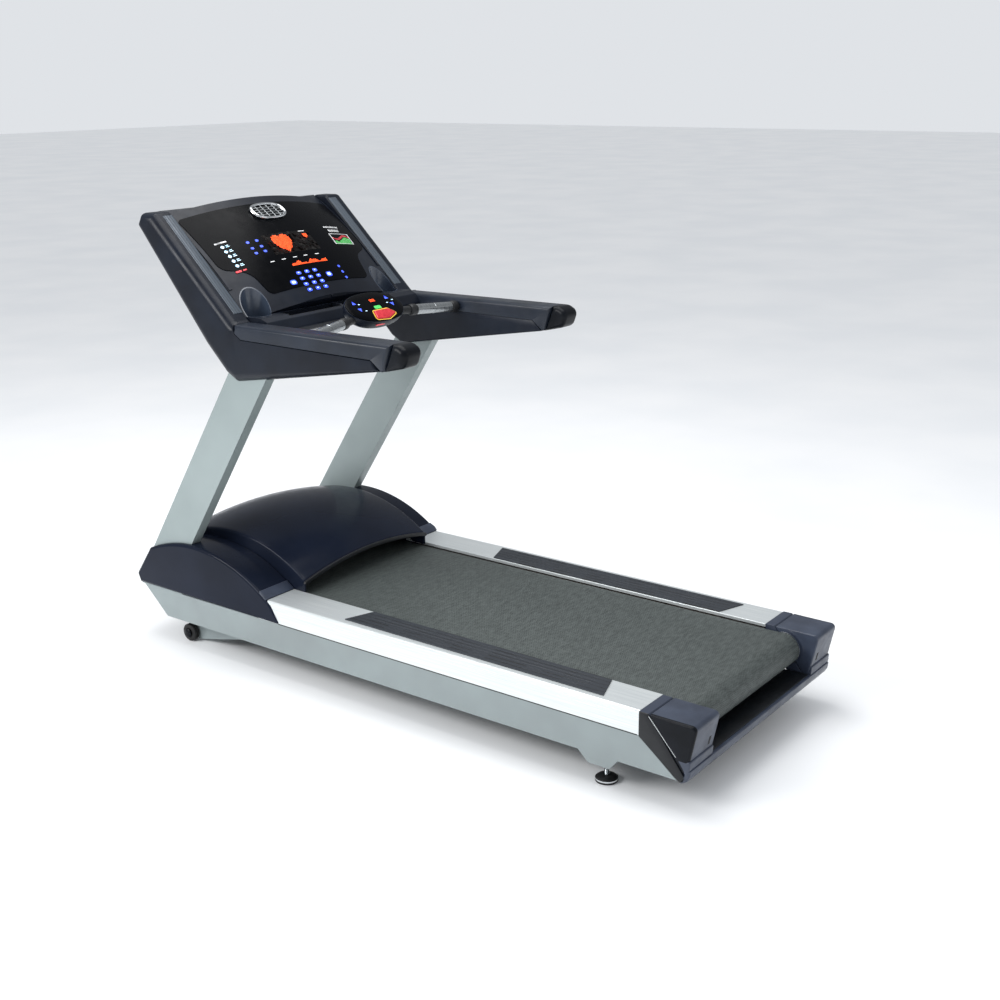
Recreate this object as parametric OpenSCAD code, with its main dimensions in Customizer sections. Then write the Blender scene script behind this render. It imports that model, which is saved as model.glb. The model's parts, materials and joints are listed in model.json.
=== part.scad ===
// Motorised treadmill with sloping uprights, a crowned console and long side arms.
// Y runs from the rear end caps to the nose, X to the runner's right, Z up from the floor.

/* [Overall] */
// Length from the rear caps to the nose
overall_l = 2224; // [1860:4:2670]
// Width over the covers and the arms
overall_w = 884; // [740:2:1060]
// Height of the console's top edge
overall_h = 1496; // [1248:4:1796]

/* [Frame] */
// Ground clearance under the frame
frame_z = 94; // [80:1:112]
// Height of the side tubes
tube_h = 98; // [82:1:117]
// Width of the side tubes
tube_w = 34; // [29:1:40]
// Wall of the steel tubes
tube_wall = 4; // [3:0.5:5]
// Height of the cross tubes
cross_h = 40; // [34:1:46]
// Depth of the cross tubes
cross_d = 40; // [34:1:48]

/* [Running deck] */
// Width of a side rail
rail_w = 131; // [112:1:156]
// Height of a side rail
rail_h = 72; // [66:1:86]
// Wall of the rail extrusion
rail_wall = 3; // [2.5:0.5:4]
// Gap between the belt and a rail
belt_gap = 13; // [10:1:16]
// Thickness of the belt
belt_t = 3; // [2:0.5:4]
// Thickness of the board
board_t = 25; // [20:1:30]
// Radius of the rollers
roller_r = 46.6; // [39:0.1:56]
// Radius of the roller shafts
shaft_r = 8.5; // [7:0.1:10.2]
// Radius of the roller bearings
bearing_r = 20; // [17:0.5:24]
// Rear roller's distance from the rear end
rear_roller_y = 105; // [100:1:112]
// Front roller's distance from the nose
front_roller_n = 434; // [420:1:470]
// Height of the tread strips
strip_t = 3; // [2:0.5:4]

/* [Covers] */
// Wall of the plastic covers
cover_wall = 4; // [3:0.5:5]
// Radius of the side covers' arched top
cover_arc_r = 550; // [530:5:640]
// Height of the side covers' crest above the rails
cover_rise = 117; // [110:1:140]
// Radius of the hood's arch, front to back
hood_arc_r = 593; // [560:1:700]
// Radius of the hood's crown, side to side
hood_crown_r = 1406; // [1300:10:1700]
// Height of the hood's crest above the side covers' crest
hood_rise = 67; // [60:1:80]

/* [Uprights] */
// Lean of the uprights from vertical, degrees
lean = 33.4; // [31:0.2:35]
// Width of an upright, seen from behind
upright_w = 40; // [34:1:46]
// Depth of an upright, seen from the side
upright_d = 140; // [118:1:150]
// Gap between an upright and the cover's outer face
upright_in = 17; // [15:1:20]

/* [Console] */
// Width of an arm
arm_w = 82; // [74:1:98]
// Wall of the console shells
shell_wall = 3.5; // [3:0.5:4.5]
// Slope of the console face, degrees
face_slope = 39.4; // [36:0.2:43]
// Radius of the crowned face
face_r = 1462; // [1300:10:1750]
// Radius of a bottle holder
cup_r = 46; // [39:0.5:52]
// Depth of a bottle holder
cup_depth = 62; // [51:1:66]
// Radius of the handlebar tube
bar_r = 13; // [11:0.5:15]
// Radius of the pulse grips
grip_r = 17; // [15.5:0.5:20]
// Travel of the stop button
stop_travel = 4; // [3:0.5:5]

/* [Lift and feet] */
// Radius of the front wheels
wheel_r = 31; // [26:0.5:36]
// Width of the front wheels
wheel_w = 24; // [20:1:28]
// Radius of the feet
foot_r = 33; // [28:1:40]
// Radius of the feet's studs
stud_r = 7; // [6:0.1:8]
// Radius of the pivot and lift pins
pin_r = 8; // [7:0.1:9.5]

/* [Fits] */
// Radial clearance of a running fit
run_fit = 0.05; // [0.02:0.01:0.1]
// Radial clearance of a seated fit
seat_fit = 0.02; // [0.01:0.01:0.05]
// Gap between covers and what they slip over
slip = 0.4; // [0.3:0.1:1]
// Clearance between a belt and its roller
belt_fit = 0.4; // [0.3:0.1:0.8]
// Radial play of the lift tube's eye on its pin
eye_play = 3.8; // [3.4:0.1:5]

/* [Hidden] */
$fn = 64;
over = 1;            // how far a cut runs past a face

half_w = overall_w / 2;
cover_in = half_w - cover_wall;
frame_out = cover_in - slip;
frame_in = frame_out - tube_w;
frame_top = frame_z + tube_h;
rail_top = frame_top + rail_h;
rail_in = half_w - rail_w;
belt_half = rail_in - belt_gap;
belt_r = roller_r + belt_fit;
deck_top = rail_top - 13;
roller_z = deck_top - belt_r;
ledge_top = deck_top - board_t - 36;
cross_z = roller_z - belt_r - belt_t - cross_h - 10;

// Distances back from the nose, and the place on Y they stand for
function back(n) = overall_l - n;
nose_z = frame_top + 34;
cross_front_n = 100;
cross_rear_n = 215;
pivot_n = 518;
pivot_z = frame_z - 10;
motor_n = 165;
motor_z = cross_z + cross_h + 84;
wheel_n = 200;
lug_n = 278;
lug_z = pivot_z - 8;
clevis_n = 345;
clevis_z = pivot_z + 216;
lift_x = 150;
lift_reach = norm([clevis_n - lug_n, clevis_z - lug_z]);
lift_tilt = atan2(clevis_n - lug_n, clevis_z - lug_z);
foot_x = frame_in - stud_r - 1.6;
foot_y = 301;
arm_plate_x = frame_in - 39.6;

// Rear end caps
cap_front_y = 176;
cap_split_y = 144;
cap_tip_y = 48;
cap_low_z = frame_z - 4;

// Uprights and console: the elbow is where an arm's top meets the console face
upright_x = half_w - upright_in - upright_w;
upright_foot_n = 74;
upright_run = upright_d / cos(lean) / 2;
console_rise = 336;
elbow_z = overall_h - console_rise;
elbow_n = upright_foot_n + tan(lean) * (elbow_z - frame_top) - 138;
upright_top = elbow_z - 112;
arm_in = half_w - arm_w;
face_mid = [201, 181];
face_sink = 40;
cup_x = arm_in - cup_r - 8;
cup_y = 38;
fan_v = 128;
pod_mid = [-191, 11];
pod_tilt = 35;
arm_end = [-640, -612];

// ---- Shared shapes ----

// Carries a child from the rear end's frame to the middle of the object
module place() translate([0, -overall_l / 2, 0]) children();

// Stands an outline given as [y, z] upright and gives it a width along X
module yz(x0, w) translate([x0, 0, 0]) rotate([90, 0, 90]) linear_extrude(w) children();

module left() mirror([1, 0, 0]) children();
module both() { children(); left() children(); }

// A cylinder along X from x0 to x1
module rod(x0, x1, r) translate([x0, 0, 0]) rotate([0, 90, 0]) cylinder(h = x1 - x0, r = r);

// A cylinder from point p to point q
module bar(p, q, r) {
    d = q - p;
    translate(p) rotate([0, acos(d.z / norm(d)), atan2(d.y, d.x)]) cylinder(h = norm(d), r = r);
}

function unit(v) = v / norm(v);

// An outline moved inwards by d; its points run anticlockwise
function inset(p, d) = let (n = len(p)) [for (i = [0:n - 1])
    let (u = unit(p[i] - p[(i + n - 1) % n]), v = unit(p[(i + 1) % n] - p[i]),
         a = [-u.y, u.x], b = [-v.y, v.x]) p[i] + (a + b) * d / (1 + a * b)];

// An outline with rounded corners: each point is [y, z, radius]
function rounded(p, steps = 5) = let (n = len(p)) [for (i = [0:n - 1])
    let (c = [p[i].x, p[i].y], q = p[(i + n - 1) % n], s = p[(i + 1) % n], r = p[i].z,
         u = unit([q.x, q.y] - c), v = unit([s.x, s.y] - c), turn = acos(u * v),
         t = r / tan(turn / 2), a = c + u * t, b = c + v * t,
         m = c + unit(u + v) * r / sin(turn / 2))
    each (r <= 0 ? [c] : [for (k = [0:steps]) let (w = k / steps,
        g = unit((a - m) * (1 - w) + (b - m) * w)) m + g * r])];

// A superellipse of half sizes a and b
function oval(a, b, power = 2.6, steps = 48) = [for (k = [0:steps - 1]) let (t = 360 * k / steps)
    [a * sign(cos(t)) * pow(abs(cos(t)), 2 / power),
     b * sign(sin(t)) * pow(abs(sin(t)), 2 / power)]];

// ---- Frame ----

frame_outline = [[cap_front_y + 2, frame_top], [cap_tip_y + 8, frame_z], [back(143), frame_z],
    [back(35), frame_top]];

module frame_side() {
    ledge = [frame_in - 73, 4];
    difference() {
        union() {
            yz(frame_in, tube_w) polygon(frame_outline);
            translate([ledge.x, 250, ledge_top - ledge.y])
                cube([frame_in - ledge.x + tube_wall / 2, back(560) - 250, ledge.y]);
            // Bracket that holds the foot's stud
            yz(foot_x - 19, frame_out - foot_x + 19) polygon([[foot_y - 60, frame_z + 0.5],
                [foot_y - 34, frame_z - 32], [foot_y + 36, frame_z - 32],
                [foot_y + 70, frame_z + 0.5]]);
        }
        translate([frame_in + tube_wall, -over, frame_z + tube_wall])
            cube([tube_w - 2 * tube_wall, overall_l + 2 * over, tube_h - 2 * tube_wall]);
        translate([foot_x, foot_y, frame_z - 40]) cylinder(h = 60, r = stud_r + run_fit);
        for (n = upright_bolt_n)
            translate([upright_bolt_x, back(n), frame_top - 2 * tube_wall])
                cylinder(h = 3 * tube_wall, r = bolt_r + 0.3);
    }
}
module frame_side_left() color("silver") place() left() frame_side();
module frame_side_right() color("silver") place() frame_side();

// One cross tube at y
module cross_tube(y, z, half, d = cross_d, h = cross_h) difference() {
    translate([-half, y - d / 2, z]) cube([2 * half, d, h]);
    translate([-half - over, y - d / 2 + tube_wall, z + tube_wall])
        cube([2 * (half + over), d - 2 * tube_wall, h - 2 * tube_wall]);
}

module frame_cross() color("silver") place() {
    plate_t = 6;
    for (y = [340, (340 + back(pivot_n)) / 2, back(cross_front_n), back(cross_rear_n)])
        cross_tube(y, cross_z, frame_in);
    cross_tube(back(pivot_n), cross_z, frame_in);
    translate([-300, back(cross_rear_n) - cross_d / 2, cross_z + cross_h])
        cube([600, cross_rear_n - cross_front_n + cross_d, plate_t]);
    // Brackets and studs that the lift frame turns on
    both() {
        translate([arm_plate_x - 14, back(pivot_n) - 18, pivot_z - 14])
            cube([10, 36, cross_z - pivot_z + 14 + tube_wall / 2]);
        translate([0, back(pivot_n), pivot_z]) rod(arm_plate_x - 8, arm_plate_x + 12, pin_r);
    }
}

module lift_bridge() color("dimgray") place() {
    top = clevis_z + 22;
    post = 26;
    cross_tube(back(clevis_n), top, frame_in + 4, 30, 30);
    both() translate([frame_in + 4, back(clevis_n) - 15, frame_top])
        cube([post, 30, top + 30 - frame_top]);
    // Clevis and pin that the lift motor swivels on
    translate([lift_x, back(clevis_n), 0]) {
        for (x = [-20, 14]) translate([x, -14, clevis_z - 14]) cube([6, 28, top - clevis_z + 16]);
        translate([0, 0, clevis_z]) rod(-17, 17, pin_r);
    }
}

// ---- Running deck ----

module side_rail() {
    box_in = frame_in - 4;
    lip = 10;
    corner = 7;
    translate([0, cap_front_y, 0]) rotate([-90, 0, 0]) mirror([0, 1, 0])
        linear_extrude(back(600) - cap_front_y) difference() {
            polygon(rounded([[box_in, frame_top, 0], [frame_out, frame_top, 0],
                [frame_out, rail_top, corner], [rail_in, rail_top, 1.5],
                [rail_in, rail_top - lip, 0], [rail_in + rail_wall, rail_top - lip, 0],
                [rail_in + rail_wall, rail_top - rail_wall, 0],
                [box_in, rail_top - rail_wall, 0]]));
            polygon(rounded([[box_in + rail_wall, frame_top + rail_wall, 0],
                [frame_out - rail_wall, frame_top + rail_wall, 0],
                [frame_out - rail_wall, rail_top - rail_wall, corner - rail_wall],
                [box_in + rail_wall, rail_top - rail_wall, 0]]));
            // Two fine grooves along the outer face
            for (z = [rail_top - 15, rail_top - 26])
                translate([frame_out - 0.8, z]) square([2, 1.2]);
        }
}
module side_rail_left() color("gainsboro") place() left() side_rail();
module side_rail_right() color("gainsboro") place() side_rail();

strip_rear = 303;
strip_front_n = 965;
module foot_strips() color("dimgray") place() both() {
    inner = rail_in + 4;
    outer = frame_out - 23;
    skew = 35;
    difference() {
        translate([0, 0, rail_top]) linear_extrude(strip_t) polygon([[outer, strip_rear],
            [inner, strip_rear + skew], [inner, back(strip_front_n) - skew],
            [outer, back(strip_front_n)]]);
        for (k = [1:5]) translate([inner + k * (outer - inner) / 6 - 1.5, strip_rear + 70,
            rail_top + strip_t - 1])
            cube([3, back(strip_front_n) - strip_rear - 140, 2]);
    }
}

board_half = frame_in - 48;
board_rear = cap_front_y + 1;
module deck_board() color("tan") place()
    translate([-board_half, board_rear, deck_top - board_t])
        cube([2 * board_half, back(front_roller_n + 70) - board_rear, board_t]);

module deck_cushions() color("black") place() both()
    for (k = [0:4]) translate([frame_in - 62, 330 + k * (back(640) - 330) / 4, ledge_top])
        cylinder(h = deck_top - board_t - ledge_top, r = 11);

// A band around two rollers, from x0 to x1
module band(x0, x1, y0, z0, r0, y1, z1, r1) {
    gap = [y1 - y0, z1 - z0];
    side = acos((r0 - r1) / norm(gap));
    turn = atan2(gap.y, gap.x);
    union() {
        translate([0, y0, z0]) rod(x0, x1, r0);
        translate([0, y1, z1]) rod(x0, x1, r1);
        yz(x0, x1 - x0) polygon([for (e = [[y0, z0, r0, -side], [y1, z1, r1, -side],
            [y1, z1, r1, side], [y0, z0, r0, side]])
            [e[0] + e[2] * cos(turn + e[3]), e[1] + e[2] * sin(turn + e[3])]]);
    }
}

module running_belt() color("darkslategray") place() difference() {
    band(-belt_half, belt_half, rear_roller_y, roller_z, belt_r + belt_t,
        back(front_roller_n), roller_z, belt_r + belt_t);
    band(-belt_half - over, belt_half + over, rear_roller_y, roller_z, belt_r,
        back(front_roller_n), roller_z, belt_r);
}

// ---- Rollers ----

roller_half = rail_in - 8;
bearing_w = 14;
module roller() rotate([0, 90, 0]) rotate_extrude() polygon([
    [bearing_r + run_fit, -roller_half], [roller_r, -roller_half], [roller_r, roller_half],
    [bearing_r + run_fit, roller_half], [bearing_r + run_fit, roller_half - 30],
    [roller_r - 4, roller_half - 34], [roller_r - 4, 34 - roller_half],
    [bearing_r + run_fit, 30 - roller_half]]);

// Sheave on the front roller's left end
sheave_r = 44;
motor_sheave_r = 22;
sheave_x = -roller_half - 25;
sheave_w = 20;
module front_roller() color("silver") place() translate([0, back(front_roller_n), roller_z]) {
    roller();
    translate([sheave_x, 0, 0]) rotate([0, 90, 0]) rotate_extrude() polygon([
        [bearing_r + run_fit, 0], [sheave_r, 0], [sheave_r, sheave_w],
        [bearing_r + 8, sheave_w], [bearing_r + 8, -roller_half - sheave_x + 2],
        [bearing_r + run_fit, -roller_half - sheave_x + 2]]);
}
module rear_roller() color("silver") place()
    translate([0, rear_roller_y, roller_z]) roller();

module roller_shafts() color("lightgray") place()
    for (y = [rear_roller_y, back(front_roller_n)])
        translate([0, y, roller_z]) rod(-frame_in, frame_in, shaft_r);

module roller_bearings() color("gray") place()
    for (y = [rear_roller_y, back(front_roller_n)]) translate([0, y, roller_z])
        both() difference() {
            rod(roller_half - 8 - bearing_w, roller_half - 8, bearing_r);
            rod(roller_half - 9 - bearing_w, roller_half - 7, shaft_r + seat_fit);
        }

bracket_w = 12;
tension_x = rail_in + 40;
tension_r = 5;
module roller_brackets() color("dimgray") place() both() {
    difference() {
        union() {
            yz(frame_in - bracket_w, bracket_w) polygon([[rear_roller_y - 62, roller_z - 20],
                [rear_roller_y - 26, roller_z - 92], [rear_roller_y + 82, roller_z - 92],
                [rear_roller_y + 82, roller_z - 20], [rear_roller_y + 26, roller_z + 26],
                [rear_roller_y - 62, roller_z + 20]]);
            translate([tension_x - 14, rear_roller_y - 62, roller_z - 14])
                cube([frame_in - tension_x + 14, 7, 28]);
        }
        translate([0, rear_roller_y, roller_z]) rod(0, half_w, shaft_r + seat_fit);
        translate([tension_x, rear_roller_y - 70, roller_z]) rotate([-90, 0, 0])
            cylinder(h = 30, r = tension_r + 0.2);
    }
    difference() {
        translate([frame_in - bracket_w, back(front_roller_n) - 30, frame_top - 30])
            cube([bracket_w, 60, roller_z - frame_top + 54]);
        translate([0, back(front_roller_n), roller_z]) rod(0, half_w, shaft_r + seat_fit);
    }
}

module tension_bolts() color("silver") place() both()
    translate([tension_x, rear_roller_y - 62, roller_z]) {
        rotate([-90, 0, 0]) translate([0, 0, -8]) cylinder(h = 8, r = 9, $fn = 6);
        rotate([-90, 0, 0]) cylinder(h = 62 - shaft_r - 0.3, r = tension_r);
    }

// ---- Drive ----

motor_r = 60;
motor_half = 110;
motor_x = sheave_x + 178;
module motor_body() color("black") place() translate([motor_x, back(motor_n), motor_z]) {
    difference() {
        rod(-motor_half, motor_half, motor_r);
        rod(-motor_half + 10, motor_half - 10, motor_r - 8);
        rod(-motor_half - over, motor_half + over, 10 + run_fit);
    }
    for (x = [-70, 50]) translate([x, -45, cross_z + cross_h + 6 - motor_z])
        cube([20, 90, motor_z - cross_z - cross_h - 6 - motor_r + 14]);
}

module motor_rotor() color("silver") place() translate([0, back(motor_n), motor_z]) {
    rod(sheave_x, motor_x + motor_half + 34, 10);
    rod(sheave_x, sheave_x + sheave_w, motor_sheave_r);
    rod(motor_x - motor_half + 20, motor_x + motor_half - 20, motor_r - 14);
    rod(motor_x + motor_half + 6, motor_x + motor_half + 30, motor_r - 6);
}

module drive_belt() color("black") place() difference() {
    band(sheave_x + 1, sheave_x + sheave_w - 1, back(front_roller_n), roller_z,
        sheave_r + belt_fit + 3, back(motor_n), motor_z, motor_sheave_r + belt_fit + 3);
    band(sheave_x, sheave_x + sheave_w, back(front_roller_n), roller_z,
        sheave_r + belt_fit, back(motor_n), motor_z, motor_sheave_r + belt_fit);
}

module motor_controller() color("dimgray") place()
    translate([80, back(235), cross_z + cross_h + 6]) difference() {
        cube([200, 130, 64]);
        for (k = [0:11]) translate([8 + k * 16, -over, 44]) cube([8, 132, 21]);
    }

// ---- Covers ----

nose_lean = tan(lean);
function nose(z) = z > nose_z ? nose_lean * (z - nose_z) : nose_under * (nose_z - z);
cover_crest = rail_top + cover_rise;
cover_mid = [back(305), cover_crest - cover_arc_r];
cover_back_n = 655;

// Outline of a side cover: an arch cut by the nose and by the rear edge
module cover_outline(d, low) intersection() {
    translate(cover_mid) circle(cover_arc_r - d, $fn = 128);
    polygon([[back(cover_back_n + 39), frame_top + 1 - low],
        [back(nose(frame_top) + d * 1.2), frame_top + 1 - low],
        [back(d * 1.2), nose_z], [back(nose(cover_crest + 40) + d * 1.2), cover_crest + 40],
        [back(cover_back_n), cover_crest + 40], [back(cover_back_n), rail_top + 2]]);
}

module upright_prism(grow, z0, z1) {
    yz(upright_x - grow, upright_w + 2 * grow) polygon([for (e = [[z0, -1], [z0, 1],
        [z1, 1], [z1, -1]])
        [back(upright_foot_n + tan(lean) * (e[0] - frame_top)) + e[1] * (upright_run + grow),
         e[0]]]);
}

module side_cover() difference() {
    yz(rail_in, half_w - rail_in) cover_outline(0, 0);
    yz(rail_in + cover_wall, half_w - 2 * cover_wall - rail_in) cover_outline(cover_wall, 80);
    // The rear end is open, so that the rail runs in under the lip
    translate([rail_in - over, back(cover_back_n + 60), frame_top - over])
        cube([cover_in - rail_in + over, 120, rail_h + over + slip]);
    // Inner side, open below the rail's top and ahead of the front roller
    translate([rail_in - over, back(600), 0]) cube([cover_wall + 2, 601, rail_top + 2]);
    translate([rail_in - over, back(470), 0])
        cube([cover_wall + 1 + slip, 471, cover_crest - cover_wall - 14]);
    upright_prism(1.5, frame_top, upright_top);
}
module side_cover_left() color("midnightblue") place() left() side_cover();
module side_cover_right() color("midnightblue") place() side_cover();

hood_crest = cover_crest + hood_rise;
hood_half = rail_in - 1;
hood_drop = hood_crown_r - sqrt(pow(hood_crown_r, 2) - pow(hood_half, 2));
hood_mid_y = back(350);
hood_back_n = 694;
// The hood's arch as a solid, turned about an axis far below to give it its crown
module hood_solid(d, low, turn) {
    axis_z = hood_crest - hood_crown_r;
    translate([0, 0, axis_z]) rotate([0, -90, -90]) rotate([0, 0, -turn])
        rotate_extrude(angle = 2 * turn, $fn = 180) mirror([1, 0]) rotate(90) intersection() {
            translate([hood_mid_y, hood_crest - hood_arc_r - axis_z])
                circle(hood_arc_r - d, $fn = 180);
            translate([back(hood_back_n + 3 * d), low - axis_z])
                square([hood_back_n + 60 + 6 * d, 600]);
        }
}

module motor_hood() color("midnightblue") place() {
    turn = asin(hood_half / hood_crown_r);
    low = cover_crest - 35;
    nose_cut = [[back(hood_back_n + 20), low - 60], [back(nose(low - 60)), low - 60],
        [back(nose(hood_crest + 9)), hood_crest + 9], [back(hood_back_n + 20), hood_crest + 9]];
    intersection() {
        difference() {
            hood_solid(0, low - 60, turn);
            hood_solid(cover_wall, low - 100, turn + 2);
        }
        yz(-half_w, overall_w) polygon(nose_cut);
    }
    // Side walls down to the side covers
    both() yz(hood_half - cover_wall, cover_wall) difference() {
        intersection() {
            translate([hood_mid_y, hood_crest - hood_arc_r - hood_drop])
                circle(hood_arc_r - 1, $fn = 180);
            polygon([[back(hood_back_n), low], nose_cut[1], nose_cut[2],
                [back(hood_back_n), hood_crest + 9]]);
        }
        translate(cover_mid) circle(cover_arc_r - 10, $fn = 128);
    }
}

module front_panel() color("black") place() {
    top = hood_crest;
    low = frame_top - 52;
    inner = cover_wall * 1.3;
    half = hood_half - cover_wall - slip;
    difference() {
        intersection() {
            yz(-half, 2 * half) polygon([[back(nose(low) + slip + inner), low],
                [back(nose(low) + slip), low], [back(slip), nose_z],
                [back(nose(top) + slip), top], [back(nose(top) + slip + inner), top],
                [back(slip + inner), nose_z]]);
            hood_solid(cover_wall + slip, 0, 20);
        }
        socket(inlet_x) cube([34, 80, 26], center = true);
        socket(switch_x) cube([22, 80, 30], center = true);
    }
}

inlet_x = 220;
switch_x = 265;
inlet_z = frame_top - 18;
nose_under = 0.42;
// A place on the nose's lower face, with Y out of the panel
module socket(x) translate([x, back(nose(inlet_z) + slip), inlet_z])
    rotate([-atan(nose_under), 0, 0]) children();

module power_inlet() color("black") place() socket(inlet_x) difference() {
    union() {
        translate([-16.5, -30, -12.5]) cube([33, 30.1, 25]);
        translate([-19, 0.1, -15]) cube([38, 4, 30]);
    }
    translate([-12, -20, -8]) cube([24, 30, 16]);
}

module power_switch() color("red") place() socket(switch_x) {
    rotate([6, 0, 0]) translate([-9, -7, -12]) cube([18, 10, 24]);
    translate([0, -2, 0]) rod(-10.8, 10.8, 2.5);
}

// ---- Rear end ----

cap_back = [[cap_split_y, rail_top, 3], [33, cap_low_z + 27, 4], [22, cap_low_z + 58, 12],
    [-2.5, rail_top, 12]];

module end_cap() difference() {
    yz(rail_in, half_w - rail_in) polygon(rounded([cap_back[3], cap_back[2], cap_back[1],
        cap_back[0]]));
    // Hollow, open along the slanting front
    yz(rail_in + cover_wall, rail_w - 2 * cover_wall) polygon([[7, rail_top - cover_wall],
        [28, cap_low_z + 58], [40, cap_low_z + 30], [60, cap_low_z + 30],
        [cap_split_y + 20, rail_top - cover_wall]]);
    // Slot that gives a key the way in to the tension bolt
    translate([tension_x - 7, -over, roller_z - 16]) cube([14, 40, 32]);
    shaft_way();
}
// Room for the rear shaft through the inner walls
module shaft_way() translate([0, rear_roller_y, roller_z])
    rod(-frame_in, frame_in, shaft_r + 2);
module end_cap_left() color("midnightblue") place() left() end_cap();
module end_cap_right() color("midnightblue") place() end_cap();

module rear_bumper() color("black") place() {
    strip = [[cap_tip_y, cap_low_z], [cap_front_y, frame_top - 1], [cap_front_y, rail_top],
        [cap_split_y + 1, rail_top], [34, cap_low_z + 26], [30, cap_low_z + 8]];
    both() {
        yz(frame_in + 1, half_w - frame_in - 1) polygon(strip);
        difference() {
            yz(rail_in, cover_wall) polygon([[62, cap_low_z], [cap_front_y - 12, frame_top - 40],
                [cap_front_y, frame_top - 1], [cap_front_y, rail_top],
                [cap_split_y + 1, rail_top], [34, cap_low_z + 26], [30, cap_low_z + 8]]);
            shaft_way();
        }
    }
    // Skid band across the rear
    yz(-half_w, overall_w) polygon([[cap_tip_y, cap_low_z], [34, cap_low_z + 26],
        [26, cap_low_z + 42], [18, cap_low_z + 42], [20, cap_low_z + 22],
        [27, cap_low_z + 8], [40, cap_low_z]]);
    // Cover below the belt's rear turn
    yz(-rail_in, 2 * rail_in) polygon([[40, cap_low_z], [56, cap_low_z - 18],
        [60, cap_low_z - 18], [60, cap_low_z + 18], [90, cap_low_z + 40],
        [90, cap_low_z + 44], [26, cap_low_z + 44], [26, cap_low_z + 10]]);
}

// ---- Uprights ----

bolt_r = 6;
upright_bolt_n = [36, 214];
upright_bolt_x = frame_in + tube_w / 2;
plate_t = 8;

module upright() {
    foot_z = frame_top + 48;
    shift = tube_wall / cos(lean);
    difference() {
        union() {
            upright_prism(0, foot_z, upright_top);
            translate([upright_x, back(189), frame_top + plate_t])
                cube([upright_w, 139, foot_z - frame_top - plate_t]);
            translate([upright_x, back(228), frame_top])
                cube([frame_out - upright_x - slip, 206, plate_t]);
        }
        // Hollow of the tube
        yz(upright_x + tube_wall, upright_w - 2 * tube_wall) polygon([for (e =
            [[foot_z + 6, -1], [foot_z + 6, 1], [upright_top + 1, 1], [upright_top + 1, -1]])
            [back(upright_foot_n + tan(lean) * (e[0] - frame_top)) + e[1] * (upright_run - shift),
             e[0]]]);
        for (n = upright_bolt_n) translate([upright_bolt_x, back(n), frame_top - over])
            cylinder(h = plate_t + 2, r = bolt_r + 0.3);
    }
}
module upright_left() color("lightsteelblue") place() left() upright();
module upright_right() color("lightsteelblue") place() upright();

module upright_bolts() color("gray") place() both()
    for (n = upright_bolt_n) translate([upright_bolt_x, back(n), frame_top + plate_t]) {
        translate([0, 0, -plate_t - tube_wall - 6]) cylinder(h = plate_t + tube_wall + 6.5, r = bolt_r);
        cylinder(h = 7, r = 10, $fn = 6);
    }

// ---- Console ----

// The console's own frame: origin at the elbow, on the middle plane
module console() translate([0, back(elbow_n), elbow_z]) children();
// The face's frame: Y up the slope, Z out of the face
module face() console() translate([0, face_mid.x, face_mid.y])
    rotate([face_slope, 0, 0]) children();
module face_ball(d) translate([0, 0, face_sink - face_r]) sphere(face_r + d, $fn = 180);
// The pod's frame, with Z out of its overlay
module pod() console() translate([0, pod_mid.x, pod_mid.y]) rotate([pod_tilt, 0, 0]) children();

// Side outline of an arm and its bolster, below the grip cap
shell_outline = rounded([[-601, -82, 4], [-16, -182, 30], [10, -188, 12], [54, -162, 30],
    [137, -79, 60], [426, 278, 14], [405, 316, 10], [347, 317, 6], [12, -2, 20], [3, -4, 0],
    [-4, -30, 0], [-30, -47, 0], [-562, -50, 0]]);

module side_shell() console() difference() {
    yz(arm_in, arm_w) polygon(shell_outline);
    yz(arm_in + shell_wall, arm_w - 2 * shell_wall) polygon(inset(shell_outline, shell_wall));
    // Open towards the console's housing
    yz(arm_in - over, shell_wall + 2) polygon([[90, -60], [130, -60], [400, 270], [392, 290],
        [352, 290], [90, 40]]);
    translate([0, -back(elbow_n), -elbow_z])
        upright_prism(1, frame_top, elbow_z);
}
module side_shell_left() color("darkslateblue") place() left() side_shell();
module side_shell_right() color("darkslateblue") place() side_shell();

module grip_cap() console() difference() {
    yz(arm_in, arm_w) polygon([[-601, -82], [-562, -50], [-30, -47], [-4, -30], [3, -4],
        [arm_end.x, 3], [arm_end.y, -80]]);
    yz(arm_in + shell_wall, arm_w - 2 * shell_wall) polygon([[-40, -60], [-14, -24], [-14, -9],
        [arm_end.x + 14, -2], [arm_end.y + 8, -60]]);
    bar_part(arm_in - 4, bar_out.x, bar_r + slip);
}
module grip_cap_left() color("slategray") place() left() grip_cap();
module grip_cap_right() color("slategray") place() grip_cap();

module arm_end_caps() color("black") place() both() console() difference() {
    yz(arm_in, arm_w) polygon(rounded([[arm_end.y, -80, 0], [arm_end.x, 3, 0], [-665, 3, 16],
        [-698, -15, 14], [-683, -60, 14]]));
    yz(arm_in + 6, arm_w - 12) polygon([[arm_end.y + 5, -68], [arm_end.x + 5, -5],
        [-662, -6], [-686, -20], [-676, -52]]);
}

// Upper housing behind the face, and the tray block below it
upper = [[150, -62], [198, -1], [426, 278], [405, 316], [368, 318], [310, 390], [-60, 120],
    [-14, 40], [30, -20]];
tray = rounded([[60, -70, 8], [110, -60, 0], [110, 8, 0], [-40, 8, 8], [-64, -2, 10],
    [-82, -32, 10], [-76, -48, 12], [-32, -62, 10]]);
upper_half = arm_in - slip;

module console_solid(d) {
    intersection() {
        yz(-upper_half + d, 2 * (upper_half - d)) polygon(inset(upper, d));
        translate([0, face_mid.x, face_mid.y]) rotate([face_slope, 0, 0]) face_ball(-d);
    }
    yz(-upper_half + d, 2 * (upper_half - d)) polygon(inset(tray, d));
}

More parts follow.
